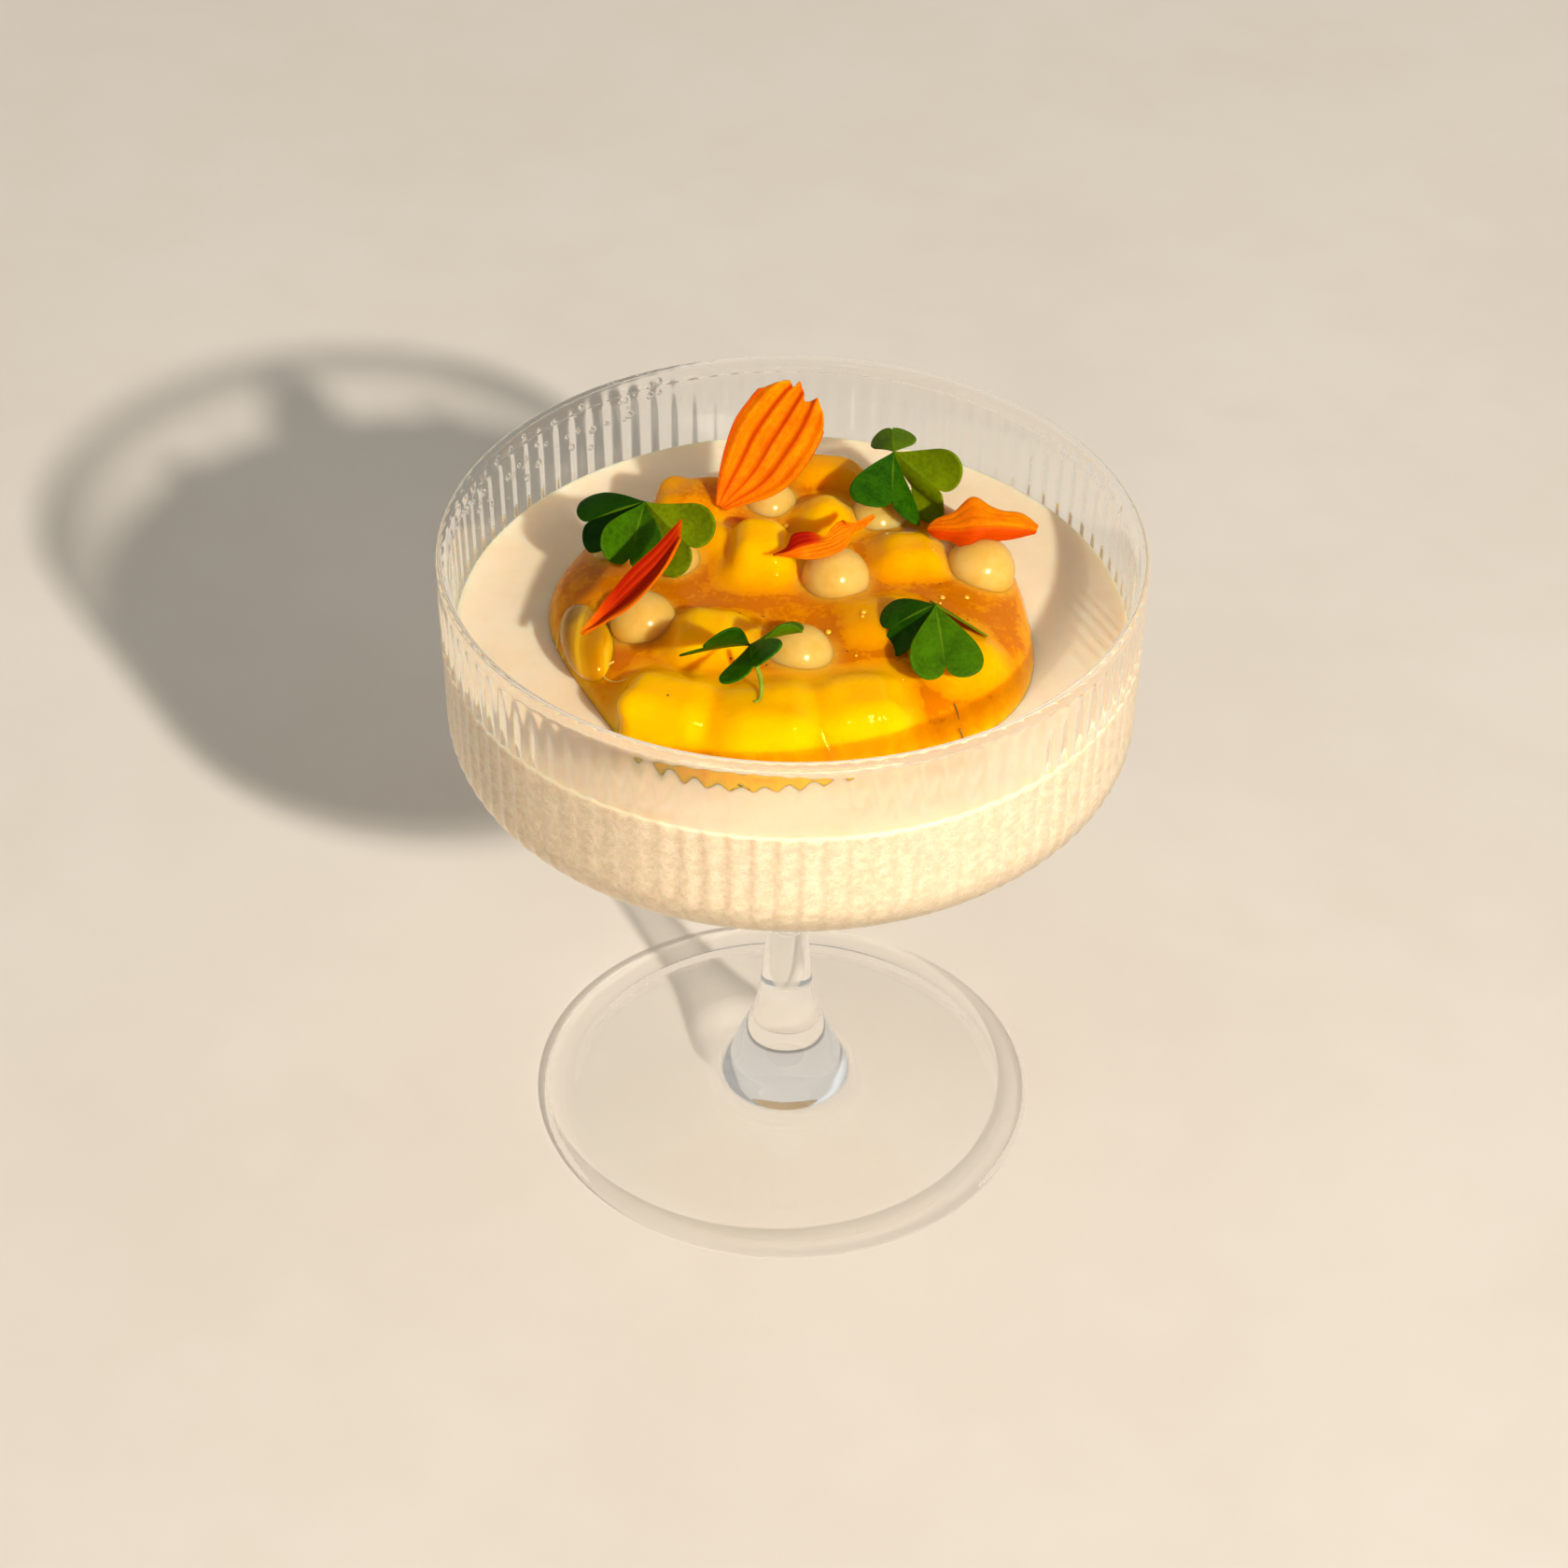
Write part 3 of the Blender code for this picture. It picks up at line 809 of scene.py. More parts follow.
def onto_skin(points, distance, rounds=3):
    """Slides points along the slope of a distance until it is zero."""
    reach = 0.02
    for _ in range(rounds):
        here = distance(*points.T)
        slope = np.stack([distance(*(points + step).T) - distance(*(points - step).T)
                          for step in reach * np.eye(3)], axis=1) / (2 * reach)
        steep = np.maximum((slope**2).sum(axis=1), 0.15)
        points = points - slope * (np.clip(here, -0.3, 0.3) / steep)[:, None]
    return points


spots = np.arange(-REACH, REACH, GRID)
heights = np.arange(LOWEST, HIGHEST, GRID)
x, y, z = np.meshgrid(spots, spots, heights, indexing="ij")
field = heap_distance(x, y, z)
field[:, :, 0] = 1.0
skin_points, skin_faces = skin_of(field, np.array([-REACH, -REACH, LOWEST]), GRID)
standing = skin_points[:, 2] > LOWEST + 1.2 * GRID
skin_points[standing] = onto_skin(skin_points[standing], heap_distance)
print("skin:", len(skin_points), "points,", len(skin_faces), "faces")
del x, y, z, field


# %% [markdown]
# ## The sauce's colour
#
# Sauce is a filter: thin over a mango cube it is bright yellow, deep in a gap it is orange
# and in the end brown, and over a pearl it is nearly peach. So each point of the skin carries
# how deep the sauce is under it, with painted shade added towards the back and the left, and
# whether a pearl is near, and the material turns these into colour. Its sheen is tinted gold,
# as light that comes back out of syrup is.

# %% Sauce material
def mango_sauce():
    made, tree, shader, place = new_finish("mango sauce")
    cloud = use(tree, TONE, Place=place, Patches_per_metre=260.0, Fine_share=0.4)
    shift = product(tree, maths(tree, "SUBTRACT", cloud["Mask"], 0.5), 0.24)
    depth_and_shade = maths(tree, "ADD", point_value(tree, "sauce_depth"), shift, clamp=True)
    tint = ramp(tree, depth_and_shade, (0.0, colour(247, 180, 0)), (0.3, colour(242, 167, 0)),
                (0.6, colour(238, 156, 0)), (0.85, colour(230, 143, 0)),
                (1.0, colour(208, 114, 0)))
    tint = blend_colours(tree, point_value(tree, "near_pearl"), tint, colour(238, 176, 52))
    finish_with(tree, shader, tint, Subsurface_Weight=1.0, Subsurface_Radius=(1.0, 0.6, 0.03),
                Subsurface_Scale=3.6 * MM, Roughness=0.14, Specular_IOR_Level=0.4,
                Specular_Tint=(1.0, 0.72, 0.10, 1.0), IOR=1.22)
    grain_on(tree, shader, place, 620.0, 240.0, 0.6, 0.7, 0.45)
    return made


SAUCE = mango_sauce()


# %% The skin of the heap
def close_below(mesh, floor_z):
    """Takes away the flat underside and closes the skin with one face."""
    form = bmesh.new()
    form.from_mesh(mesh)
    low = [vert for vert in form.verts if vert.co.z < floor_z]
    bmesh.ops.delete(form, geom=low, context="VERTS")
    open_edges = [line for line in form.edges if line.is_boundary]
    bmesh.ops.holes_fill(form, edges=open_edges, sides=0)
    bmesh.ops.recalc_face_normals(form, faces=form.faces)
    form.to_mesh(mesh)
    form.free()


def carry(mesh, name, values):
    """Stores a number at each point of a mesh."""
    layer = mesh.attributes.new(name, "FLOAT", "POINT")
    layer.data.foreach_set("value", np.asarray(values, np.float32))


def points_of(mesh):
    flat = np.zeros(3 * len(mesh.vertices))
    mesh.vertices.foreach_get("co", flat)
    return flat.reshape(-1, 3) / MM


skin = add_piece("compote_skin", skin_points, skin_faces.tolist(), SAUCE)
close_below(skin.data, (LOWEST + 0.7 * GRID) * MM)
skin.data.shade_smooth()
skin_at = points_of(skin.data)
fruit = np.min([from_cube(*skin_at.T, low, high, turn, 1.9) + under
                for (low, high, turn), under in zip(cubes, CUBE_DEEPER_TINT)], axis=0)
over_cream = np.clip((skin_at[:, 2] - CREAM_LEVEL) / 5.0, 0, 1)
# Painted shade: the sauce's colour turns deeper towards the back and the left, away from the lamp.
back_left_shade = (np.clip((skin_at[:, 1] + 12) / 30, 0, 1)
                * np.clip(1 - skin_at[:, 0] / 30, 0.3, 1))
deep_and_shaded = np.clip((fruit - 0.5) / 4.0, 0, 1) * (0.5 + 0.5 * over_cream) + 0.14 * back_left_shade
carry(skin.data, "sauce_depth", np.clip(deep_and_shaded, 0, 1))
pearl_gap = np.min([from_ball(*skin_at.T, *pearl) for pearl in pearls], axis=0)
carry(skin.data, "near_pearl", np.clip(1 - pearl_gap / 2.0, 0, 1) ** 1.4 * 0.6)
hand_over(skin, "sauce", "mango_sauce", *(f"mango_{n + 1}" for n in range(len(cubes))))


# %% [markdown]
# ## Pearls
#
# The pearls are pale balls of fruit jelly, straw-coloured and cloudy, with the sauce creeping up
# their sides. Each is a ball with a little unevenness, and each point of it knows how high it
# stands above its sauce line, so the colour can change there.

# %% Pearl material
def cloudy_pearl():
    made, tree, shader, place = new_finish("cloudy pearl")
    cloud = wandering(tree, place, 180.0, (238, 197, 108), (226, 182, 80), 0.3)
    sauced = point_value(tree, "sauced")
    tint = blend_colours(tree, sauced, cloud, colour(240, 172, 26))
    finish_with(tree, shader, tint, Subsurface_Weight=1.0, Subsurface_Radius=(1.0, 0.82, 0.45),
                Subsurface_Scale=5.0 * MM, Transmission_Weight=0.2, Roughness=0.22,
                Specular_IOR_Level=0.5, Specular_Tint=(1.0, 0.85, 0.55, 1.0), IOR=1.4)
    grain_on(tree, shader, place, 900.0, 260.0, 0.7, 0.2, 0.12)
    return made


PEARL = cloudy_pearl()

# %% Pearl bodies
PEARL_ROUNDS = 48
PEARL_ROWS = 25


def unit_ball():
    """Points and faces of a ball with a radius of 1."""
    rows = [(math.sin(a), -math.cos(a), PEARL_ROUNDS) for a in np.linspace(0, math.pi, PEARL_ROWS)]
    rows[0] = (0.0, -1.0, PEARL_ROUNDS)
    rows[-1] = (0.0, 1.0, PEARL_ROUNDS)
    points, faces = turned_rings(rows)
    return np.array(points), faces


for index, (centre, radius) in enumerate(pearls):
    ball_points, ball_faces = unit_ball()
    ball_points = ball_points * radius
    uneven = 1 + 0.018 * wander(*ball_points.T, 7, 60 + index)
    ball_points = ball_points * uneven[:, None] + centre
    pearl = add_piece(f"cloudy_pearl_{index + 1}", ball_points, ball_faces, PEARL)
    low_side = (ball_points[:, 2] - centre[2]) / radius
    creep = 0.3 * wander(*ball_points.T, 5, 80 + index)
    carry(pearl.data, "sauced", np.clip((0.30 - low_side + creep) / 0.8, 0, 1))
    hand_over(pearl, "pearl", f"pearl_{index + 1}")


# %% [markdown]
# ## The slice of fruit jelly
#
# At the left edge lies one slice of clear amber jelly, a lens about a centimetre and a half
# long with faint curved threads in it.

# %% Jelly slice
def amber_jelly():
    made, tree, shader, place = new_finish("amber jelly")
    inputs = {"Vector": place, "Scale": 90.0, "Distortion": 6.0, "Detail": 2.0,
              "Detail Scale": 0.6}
    threads = node(tree, "ShaderNodeTexWave", inputs, wave_type="BANDS", bands_direction="X")
    tint = ramp(tree, threads.outputs["Fac"], (0.0, colour(176, 118, 0)),
                (0.8, colour(202, 146, 2)), (1.0, colour(226, 176, 20)))
    finish_with(tree, shader, tint, Subsurface_Weight=1.0, Subsurface_Radius=(1.0, 0.6, 0.05),
                Subsurface_Scale=3.0 * MM, Roughness=0.17, Specular_IOR_Level=0.5,
                Specular_Tint=(1.0, 0.75, 0.15, 1.0))
    grain_on(tree, shader, place, 600.0, 200.0, 0.8, 0.2, 0.15)
    return made


JELLY_HALVES = (3.8, 8.4, 3.6)
JELLY_TURN = math.radians(14)

lens_points, lens_faces = unit_ball()
c, s = math.cos(JELLY_TURN), math.sin(JELLY_TURN)
long_ways = np.array([[c, s, 0], [-s, c, 0], [0, 0, 1]])
lens_points = (lens_points * JELLY_HALVES) @ long_ways + middle_mm("jelly_slice")
hand_over(add_piece("amber_jelly_slice", lens_points, lens_faces, amber_jelly()), "jelly",
          "jelly_slice")


# %% [markdown]
# ## Petals and leaves
#
# A petal and a leaflet are both thin sheets with a shape that follows a rule: a width that
# swells and narrows, a fold along the middle, a bend along the length. Each is laid out flat
# as a grid of part along and part across, bent in code, and then given its thickness. The
# grid's parts stay on the mesh as numbers, so veins and furrows in the material follow it,
# and so does the painted shade in the furrows and on inner faces that lie in shadow.

# %% Thin sheets
def thin_sheet(name, shape, rows, columns, thickness, finish, place_mm, turn_degrees):
    """A sheet from shape(along, across), with across from -1 to 1, moved to a given place and turned.
    """
    form = bmesh.new()
    along_layer = form.verts.layers.float.new("along")
    across_layer = form.verts.layers.float.new("across")
    grid = []
    for row in range(rows + 1):
        line = []
        for column in range(columns + 1):
            along, across = row / rows, 2 * column / columns - 1
            vert = form.verts.new(shape(along, across))
            vert[along_layer] = along
            vert[across_layer] = across
            line.append(vert)
        grid.append(line)
    for row in range(rows):
        for column in range(columns):
            form.faces.new((grid[row][column], grid[row + 1][column],
                            grid[row + 1][column + 1], grid[row][column + 1]))
    bmesh.ops.remove_doubles(form, verts=form.verts, dist=0.01)
    form.normal_update()
    upper_faces = form.faces[:]
    border = [line.link_loops[0] for line in form.edges if line.is_boundary]
    rim = [(loop.vert, loop.link_loop_next.vert) for loop in border]
    under = {}
    for vert in form.verts[:]:
        twin = form.verts.new(vert.co - vert.normal * thickness)
        twin[along_layer] = vert[along_layer]
        twin[across_layer] = vert[across_layer]
        under[vert] = twin
    for face in upper_faces:
        form.faces.new([under[vert] for vert in reversed(face.verts)])
    for first, second in rim:
        form.faces.new((second, first, under[first], under[second]))
    roll, rise, heading = (math.radians(v) for v in turn_degrees)
    turned = Euler((roll, -rise, heading)).to_matrix().to_4x4()
    form.transform(Matrix.Scale(MM, 4) @ Matrix.Translation(place_mm) @ turned)
    bmesh.ops.recalc_face_normals(form, faces=form.faces)
    mesh = bpy.data.meshes.new(name)
    form.to_mesh(mesh)
    form.free()
    return add_mesh(name, mesh, finish)


# %% Petal material
def petal_skin():
    made, tree, shader, place = new_finish("petal skin")
    across, along, pleat_share, pleat_drift, red = (
        point_value(tree, name)
        for name in ("across", "along", "pleat_share", "pleat_drift", "red_share"))
    turn = maths(tree, "ADD", product(tree, across, 13.0), pleat_drift)
    furrow_dip_and_shade = product(tree, maths(tree, "ADD", maths(tree, "COSINE", turn), 1.0), 0.5)
    tint = wandering(tree, place, 260.0, (252, 142, 0), (240, 112, 0), 0.4)
    shades = (
        # painted shade in the furrows between the pleats
        (product(tree, maths(tree, "POWER", furrow_dip_and_shade, 5.0), pleat_share), (190, 64, 0)),
        (product(tree, maths(tree, "SUBTRACT", 1.0, along), 0.35, clamp=True), (222, 80, 0)),
        # painted shade: dark red where a petal's inner face or fold lies in shadow
        (product(tree, red, 2.0, clamp=True), (196, 52, 0)),
        (maths(tree, "SUBTRACT", product(tree, red, 2.0), 1.0, clamp=True), (150, 12, 0)),
    )
    for share, deeper in shades:
        tint = blend_colours(tree, share, tint, colour(*deeper))
    finish_with(tree, shader, tint, Subsurface_Weight=0.5, Subsurface_Radius=(1.0, 0.35, 0.02),
                Subsurface_Scale=1.2 * MM, Roughness=0.55, Specular_IOR_Level=0.03)
    fine = maths(tree, "COSINE", product(tree, across, 95.0))
    relief = maths(tree, "SUBTRACT", product(tree, fine, 0.15), product(tree, furrow_dip_and_shade, pleat_share))
    raise_surface(tree, shader, relief, 0.5, 0.18)
    return made


PETAL = petal_skin()
PETAL_THICKNESS = 0.28


# %% The broad petal
BROAD_EDGES = ((0, 0.3, -1.2), (2, 1.5, -3.0), (5, 2.9, -5.5), (8, 4.0, -7.0), (12, 5.0, -7.6),
               (16, 4.9, -7.4), (19, 4.3, -6.6), (22, 3.0, -5.2))
BROAD_TIP = ((-1, 17.8), (-0.75, 20.4), (-0.53, 21.6), (-0.22, 19.9), (0.27, 22.1), (0.37, 20.6),
             (0.56, 21.3), (0.8, 20.2), (1, 17.6))
BROAD_BASE = (-11.2, 13.4, 105.6)
BROAD_TURN = (38, 46, 38)
PETAL_ROWS = 64
PETAL_COLUMNS = 72

edge_x, edge_left, edge_right = smooth_line(BROAD_EDGES, 90).T
tip_across, tip_x = np.array(BROAD_TIP).T


def broad_petal(along, across):
    """A petal cut by notches at its tip, with pleats that start at its base."""
    x = along * np.interp(across, tip_across, tip_x)
    left, right = np.interp(x, edge_x, edge_left), np.interp(x, edge_x, edge_right)
    half = (left - right) / 2
    pleats = 0.46 * min(1.0, 2 * along) * math.cos(15.0 * across + 0.6 + 0.9 * along)
    cupped = 0.9 * (across**2 - 0.4) * math.sin(math.pi * min(1.0, along + 0.1))
    return x, (left + right) / 2 + across * half, pleats + cupped


print("the broad petal is", tip_x.max(), "mm long")


# %% The crumpled petals
LONG_PETAL = (
    ((-7.0, -9.6, -4.4), (-4.5, -6.7, -2.4), (-2.1, -3.4, -0.8), (0.3, -0.4, 0.6),
     (3.2, 2.3, 2.0), (5.6, 5.1, 3.2), (7.2, 6.8, 4.0)),
    ((-6.2, -9.7, -4.8), (-3.9, -8.3, -3.7), (-1.6, -6.6, -2.6), (1.1, -4.5, -1.3),
     (3.8, -2.0, 0.2), (5.9, 0.4, 1.7), (7.1, 3.0, 3.1)),
    ((-6.8, -9.8, -4.5), (-4.3, -10.1, -3.0), (-2.3, -10.0, -1.6), (0.1, -9.4, -0.2),
     (2.7, -6.9, 1.2), (5.0, -3.1, 2.4), (7.3, 2.9, 3.6)),
)
SMALL_PETAL = (
    ((-7.2, -3.3, -2.3), (-4.9, -3.4, -2.5), (-2.6, -4.1, -2.3), (-0.2, -3.9, -2.1),
     (2.0, -2.9, -1.9), (3.5, -1.8, -1.7), (4.5, 0.9, -1.1), (6.1, 1.4, -0.5), (7.6, 2.5, 0.5)),
    ((-7.2, -3.5, -2.1), (-5.2, -3.4, -1.7), (-3.2, -3.0, -1.1), (-1.0, -1.7, -1.3),
     (0.8, -1.3, -1.1), (2.3, -0.7, -0.5), (4.2, 0.5, -0.1), (5.8, 1.3, 0.3), (7.6, 2.3, 0.9)),
    ((-7.2, -3.3, -2.1), (-5.3, -2.0, -1.7), (-4.3, -0.6, -0.3), (-1.8, -0.5, 0.1),
     (0.2, -0.7, -0.5), (1.4, 0.5, 0.3), (2.5, 1.1, 0.9), (4.1, 0.3, 0.7), (7.5, 2.1, 1.3)),
)
ARCHED_PETAL = (
    ((-8.3, -1.4, -1.3), (-7.1, -0.1, -0.7), (-4.4, 0.5, 0.3), (-1.8, 1.8, 2.1),
     (0.8, 0.6, 1.3), (2.6, 0.6, 0.5), (5.5, 0.5, 0.1), (7.9, -0.8, -1.1)),
    ((-8.3, -1.6, -1.3), (-6.8, -2.4, -0.9), (-4.2, -3.2, -0.5), (-1.6, -3.8, 0.3),
     (0.6, -3.5, 0.3), (2.7, -2.8, -0.1), (5.5, -2.2, -0.7), (7.6, -1.7, -1.3)),
    ((-8.2, -1.3, -1.7), (-7.0, -2.3, -2.3), (-4.8, -2.6, -2.5), (-2.9, -4.0, -3.1),
     (-1.5, -3.1, -2.5), (0.3, -2.9, -2.3), (3.7, -2.3, -2.3), (7.3, -1.6, -1.7)),
)


def draped_petal(curves):
    """A petal through three lines along it: one edge, the crease or lip, the other edge."""
    lines = [smooth_line(line, PETAL_ROWS + 1).ravel() for line in curves]
    sheet = smooth_line(lines, PETAL_COLUMNS + 1).reshape(PETAL_COLUMNS + 1, PETAL_ROWS + 1, 3)

    def shape(along, across):
        column = round((across + 1) / 2 * PETAL_COLUMNS)
        x, y, z = sheet[column, round(along * PETAL_ROWS)]
        return x, y, z + 0.07 * math.cos(22.0 * across) * math.sin(math.pi * along)
    return shape


for curves in (LONG_PETAL, SMALL_PETAL, ARCHED_PETAL):
    print("a petal of", round(math.dist(curves[1][0], curves[1][-1]), 1), "mm from end to end")


# %% Four petals
def shaded_red_of(kind, along, across):
    """How much dark red each petal gets, from 0 to 1: painted shade where an inner face or fold lies
    in shadow, and a darker middle at the broad petal's tip.
    """
    if kind == 1:
        streaks = 0.85 + 0.15 * np.cos(24 * across + 3 * along)
        inner = np.clip(0.95 - across * 1.3, 0, 1) * np.clip(3.2 * along - 0.1, 0.1, 1)
        return 0.9 * np.clip(inner, 0, 1) * streaks * np.clip(4.4 - 4 * along, 0.5, 1)
    if kind == 2:
        return 0.95 * np.clip((0.5 - along) / 0.16, 0, 1) * np.clip(across * 4, 0, 1)
    if kind == 3:
        return 0.42 * np.clip((across + 0.12) * 5, 0, 1)
    return 0.30 * np.clip(2.2 * along - 1.4, 0, 1) * np.clip(1.2 - 2 * np.abs(across), 0, 1)


PLEAT_RELIEF_AND_SHADE = (0.85, 0.5, 0.25, 0.2)


for index, curves in enumerate((None, LONG_PETAL, SMALL_PETAL, ARCHED_PETAL)):
    name = f"orange_petal_{index + 1}"
    node_name = f"petal_{index + 1}"
    shape, place, turn = broad_petal, BROAD_BASE, BROAD_TURN
    if curves:
        shape, place, turn = draped_petal(curves), middle_mm(node_name), (0, 0, 0)
    petal = thin_sheet(name, shape, PETAL_ROWS, PETAL_COLUMNS, PETAL_THICKNESS, PETAL, place,
                       turn)
    spread = np.zeros((2, len(petal.data.vertices)), np.float32)
    petal.data.attributes["along"].data.foreach_get("value", spread[0])
    petal.data.attributes["across"].data.foreach_get("value", spread[1])
    carry(petal.data, "red_share", shaded_red_of(index, *spread))
    carry(petal.data, "pleat_share", np.full(spread.shape[1], PLEAT_RELIEF_AND_SHADE[index]))
    carry(petal.data, "pleat_drift", 1.6 * wander(9 * spread[1], 2 * spread[0], 0, 9, 40 + index))
    hand_over(petal, "flower", node_name)


# %% [markdown]
# ## Wood sorrel
#
# Each sprig has three heart-shaped leaflets that meet at one point and fold along their
# midribs when they are tired. The leaf is dark above, and light that comes through it is
# yellow-green. That glow is painted into the colour, in one olive tone together with the
# yellowing of older leaflets, and leaflets that lie in shadow get painted shade.

# %% Leaf material
def sorrel_leaf():
    made, tree, shader, place = new_finish("sorrel leaf")
    tone = point_value(tree, "tone")
    young = wandering(tree, place, 420.0, (52, 104, 0), (26, 74, 0), 0.5)
    # Olive: older leaflets, and painted light where light comes through a leaf.
    olive_aged_and_lit = wandering(tree, place, 300.0, (128, 140, 0), (98, 110, 0), 0.5)
    leaf_age_and_light = maths(tree, "MAXIMUM", tone, 0.0)
    tint = blend_colours(tree, leaf_age_and_light, young, olive_aged_and_lit)
    # Painted shade: a leaflet with a tone below 0 lies in shadow and turns near-black green.
    tint = blend_colours(tree, product(tree, tone, -1.0, clamp=True), tint, colour(12, 42, 0))
    across = maths(tree, "ABSOLUTE", point_value(tree, "across"))
    rib = maths(tree, "SUBTRACT", 1.0, product(tree, across, 18.0), clamp=True)
    tint = blend_colours(tree, product(tree, rib, 0.5), tint, colour(112, 140, 22))
    finish_with(tree, shader, tint, Subsurface_Weight=0.5, Subsurface_Radius=(0.45, 1.0, 0.05),
                Subsurface_Scale=0.8 * MM, Roughness=0.5, Specular_IOR_Level=0.05)
    grain_on(tree, shader, place, 3200.0, 500.0, 0.4, 0.25, 0.06)
    return made


LEAF = sorrel_leaf()
LEAF_OUTLINE = ((0.0, 0.0), (0.12, 0.09), (0.36, 0.30), (0.62, 0.50), (0.84, 0.58), (1.02, 0.52),
                (1.10, 0.34), (1.09, 0.17), (1.02, 0.05), (0.92, 0.0))
LEAF_WIDTH = 0.93
LEAF_NOTCH = 0.92
LEAF_ROWS = 44
LEAF_COLUMNS = 28
LEAF_THICKNESS = 0.26
outline = smooth_line(LEAF_OUTLINE, LEAF_ROWS + 1)


# %% Leaflet shape
def leaflet_shape(length, tilts, curls, arch, pinch):
    """A heart along +X from its stalk; each half has its own tilt and curl at the midrib."""
    def shape(along, across):
        rim_x, rim_y = outline[round(along * LEAF_ROWS)]
        side = 0 if across >= 0 else 1
        share = abs(across)
        mid_x = LEAF_NOTCH * along**1.15
        x = mid_x + (rim_x - mid_x) * share
        y = rim_y * share * (1 - pinch[side] * max(0.0, 1 - (x / 1.08) ** 2))
        tilt = math.radians(tilts[side] + curls[side] * y)
        out = y * length * LEAF_WIDTH
        return (x * length, math.copysign(out * math.cos(tilt), across),
                out * math.sin(tilt) - arch * x * x * length)
    return shape


widest = 2 * LEAF_WIDTH * outline[:, 1].max()
print(f"a flat leaflet of 10 mm is {10 * widest:.1f} mm wide")


# %% Four sprigs
# A leaflet: heading, rise, length, (left tilt, right tilt), (left curl, right curl), arch, and a
# tone: above 0 olive, from age and painted light, below 0 painted shade.
SPRIGS = (
    ((-21.8, 7.8, 110.0), ((-104, -24, 10.4, (18, 32), (20, 30), 0.06, 0.12),
                           (-176, -17, 9.6, (-116, 28), (-60, -34), 0.08, -0.8),
                           (-49, -13, 10.9, (14, -104), (67, -31), 0.02, 0.85))),
    ((15.0, 23.7, 108.8), ((92, -2, 7.6, (-22, -20), (-31, -4), 0.06, 0.35),
                           (-46, -10, 10.6, (32, -57), (48, -95), 0.05, 0.75),
                           (-92, -5, 12.0, (-24, 22), (-30, -22), 0.04, -0.15))),
    ((-5.9, -24.9, 108.4), ((218, 30, 8.8, (57, -37), (9, -8), 0.18, -0.4),
                            (-87, 21, 9.5, (47, -35), (-19, 18), 0.08, 0.0),
                            (11, 25, 6.9, (-34, 22), (31, 66), 0.22, 0.25))),
    ((20.4, -15.8, 109.2), ((-80, -30, 10.4, (8, 0), (-9, 41), 0.04, 0.15),
                            (-182, -30, 8.3, (-56, 30), (40, -26), 0.10, -0.6),
                            (50, -44, 9.5, (5, -5), (0, 0), 0.0, 0.5))),
)
POINTED = {(1, 2): (0.55, 0.0)}

for index, (hub, leaflets) in enumerate(SPRIGS):
    whole = bmesh.new()
    for count, (heading, rise, length, tilts, curls, arch, leaf_age_and_light) in enumerate(leaflets):
        form = leaflet_shape(length, tilts, curls, arch, POINTED.get((index, count), (0.0, 0.0)))
        leaf = thin_sheet("leaflet", form, LEAF_ROWS, LEAF_COLUMNS, LEAF_THICKNESS, LEAF, hub,
                          (0, rise, heading))
        carry(leaf.data, "tone", np.full(len(leaf.data.vertices), leaf_age_and_light))
        whole.from_mesh(leaf.data)
        bpy.data.objects.remove(leaf)
    mesh = bpy.data.meshes.new("sprig")
    whole.to_mesh(mesh)
    whole.free()
    hand_over(add_mesh(f"sorrel_sprig_{index + 1}", mesh, LEAF), "leaf", f"sprig_{index + 1}")


# %% [markdown]
# ## Small things
#
# A few small things tell the eye that this is food: the stalk of one sprig, pale skins left in
# the jelly, bits of fibre, dark specks, and beads of sauce that each catch the lamp. Stalk and
# fibres are tubes along a path. Specks, beads and the droplets inside the glass are scattered
# over a surface, thick where a share stored on it is high. Both are geometry trees, since
# both repeat by a rule.

# %% Trees for strands and scattered bits
def strand_tree(finish):
    group, given, out = geometry_tree("strand along a path", {"Radius": 0.2 * MM, "Tip share": 0.5})
    path = node(group, "GeometryNodeMeshToCurve", {"Mesh": given["Geometry"]})
    part = node(group, "GeometryNodeSplineParameter").outputs["Factor"]
    thinner = product(group, part, maths(group, "SUBTRACT", given["Tip share"], 1.0))
    reach = product(group, maths(group, "ADD", thinner, 1.0), given["Radius"])
    ring = node(group, "GeometryNodeCurvePrimitiveCircle", {"Resolution": 10, "Radius": 1.0})
    tube = node(group, "GeometryNodeCurveToMesh", {
        "Curve": path.outputs["Curve"], "Profile Curve": ring.outputs["Curve"],
        "Scale": reach, "Fill Caps": True})
    close_tree(group, tube.outputs["Mesh"], out, finish)
    return group


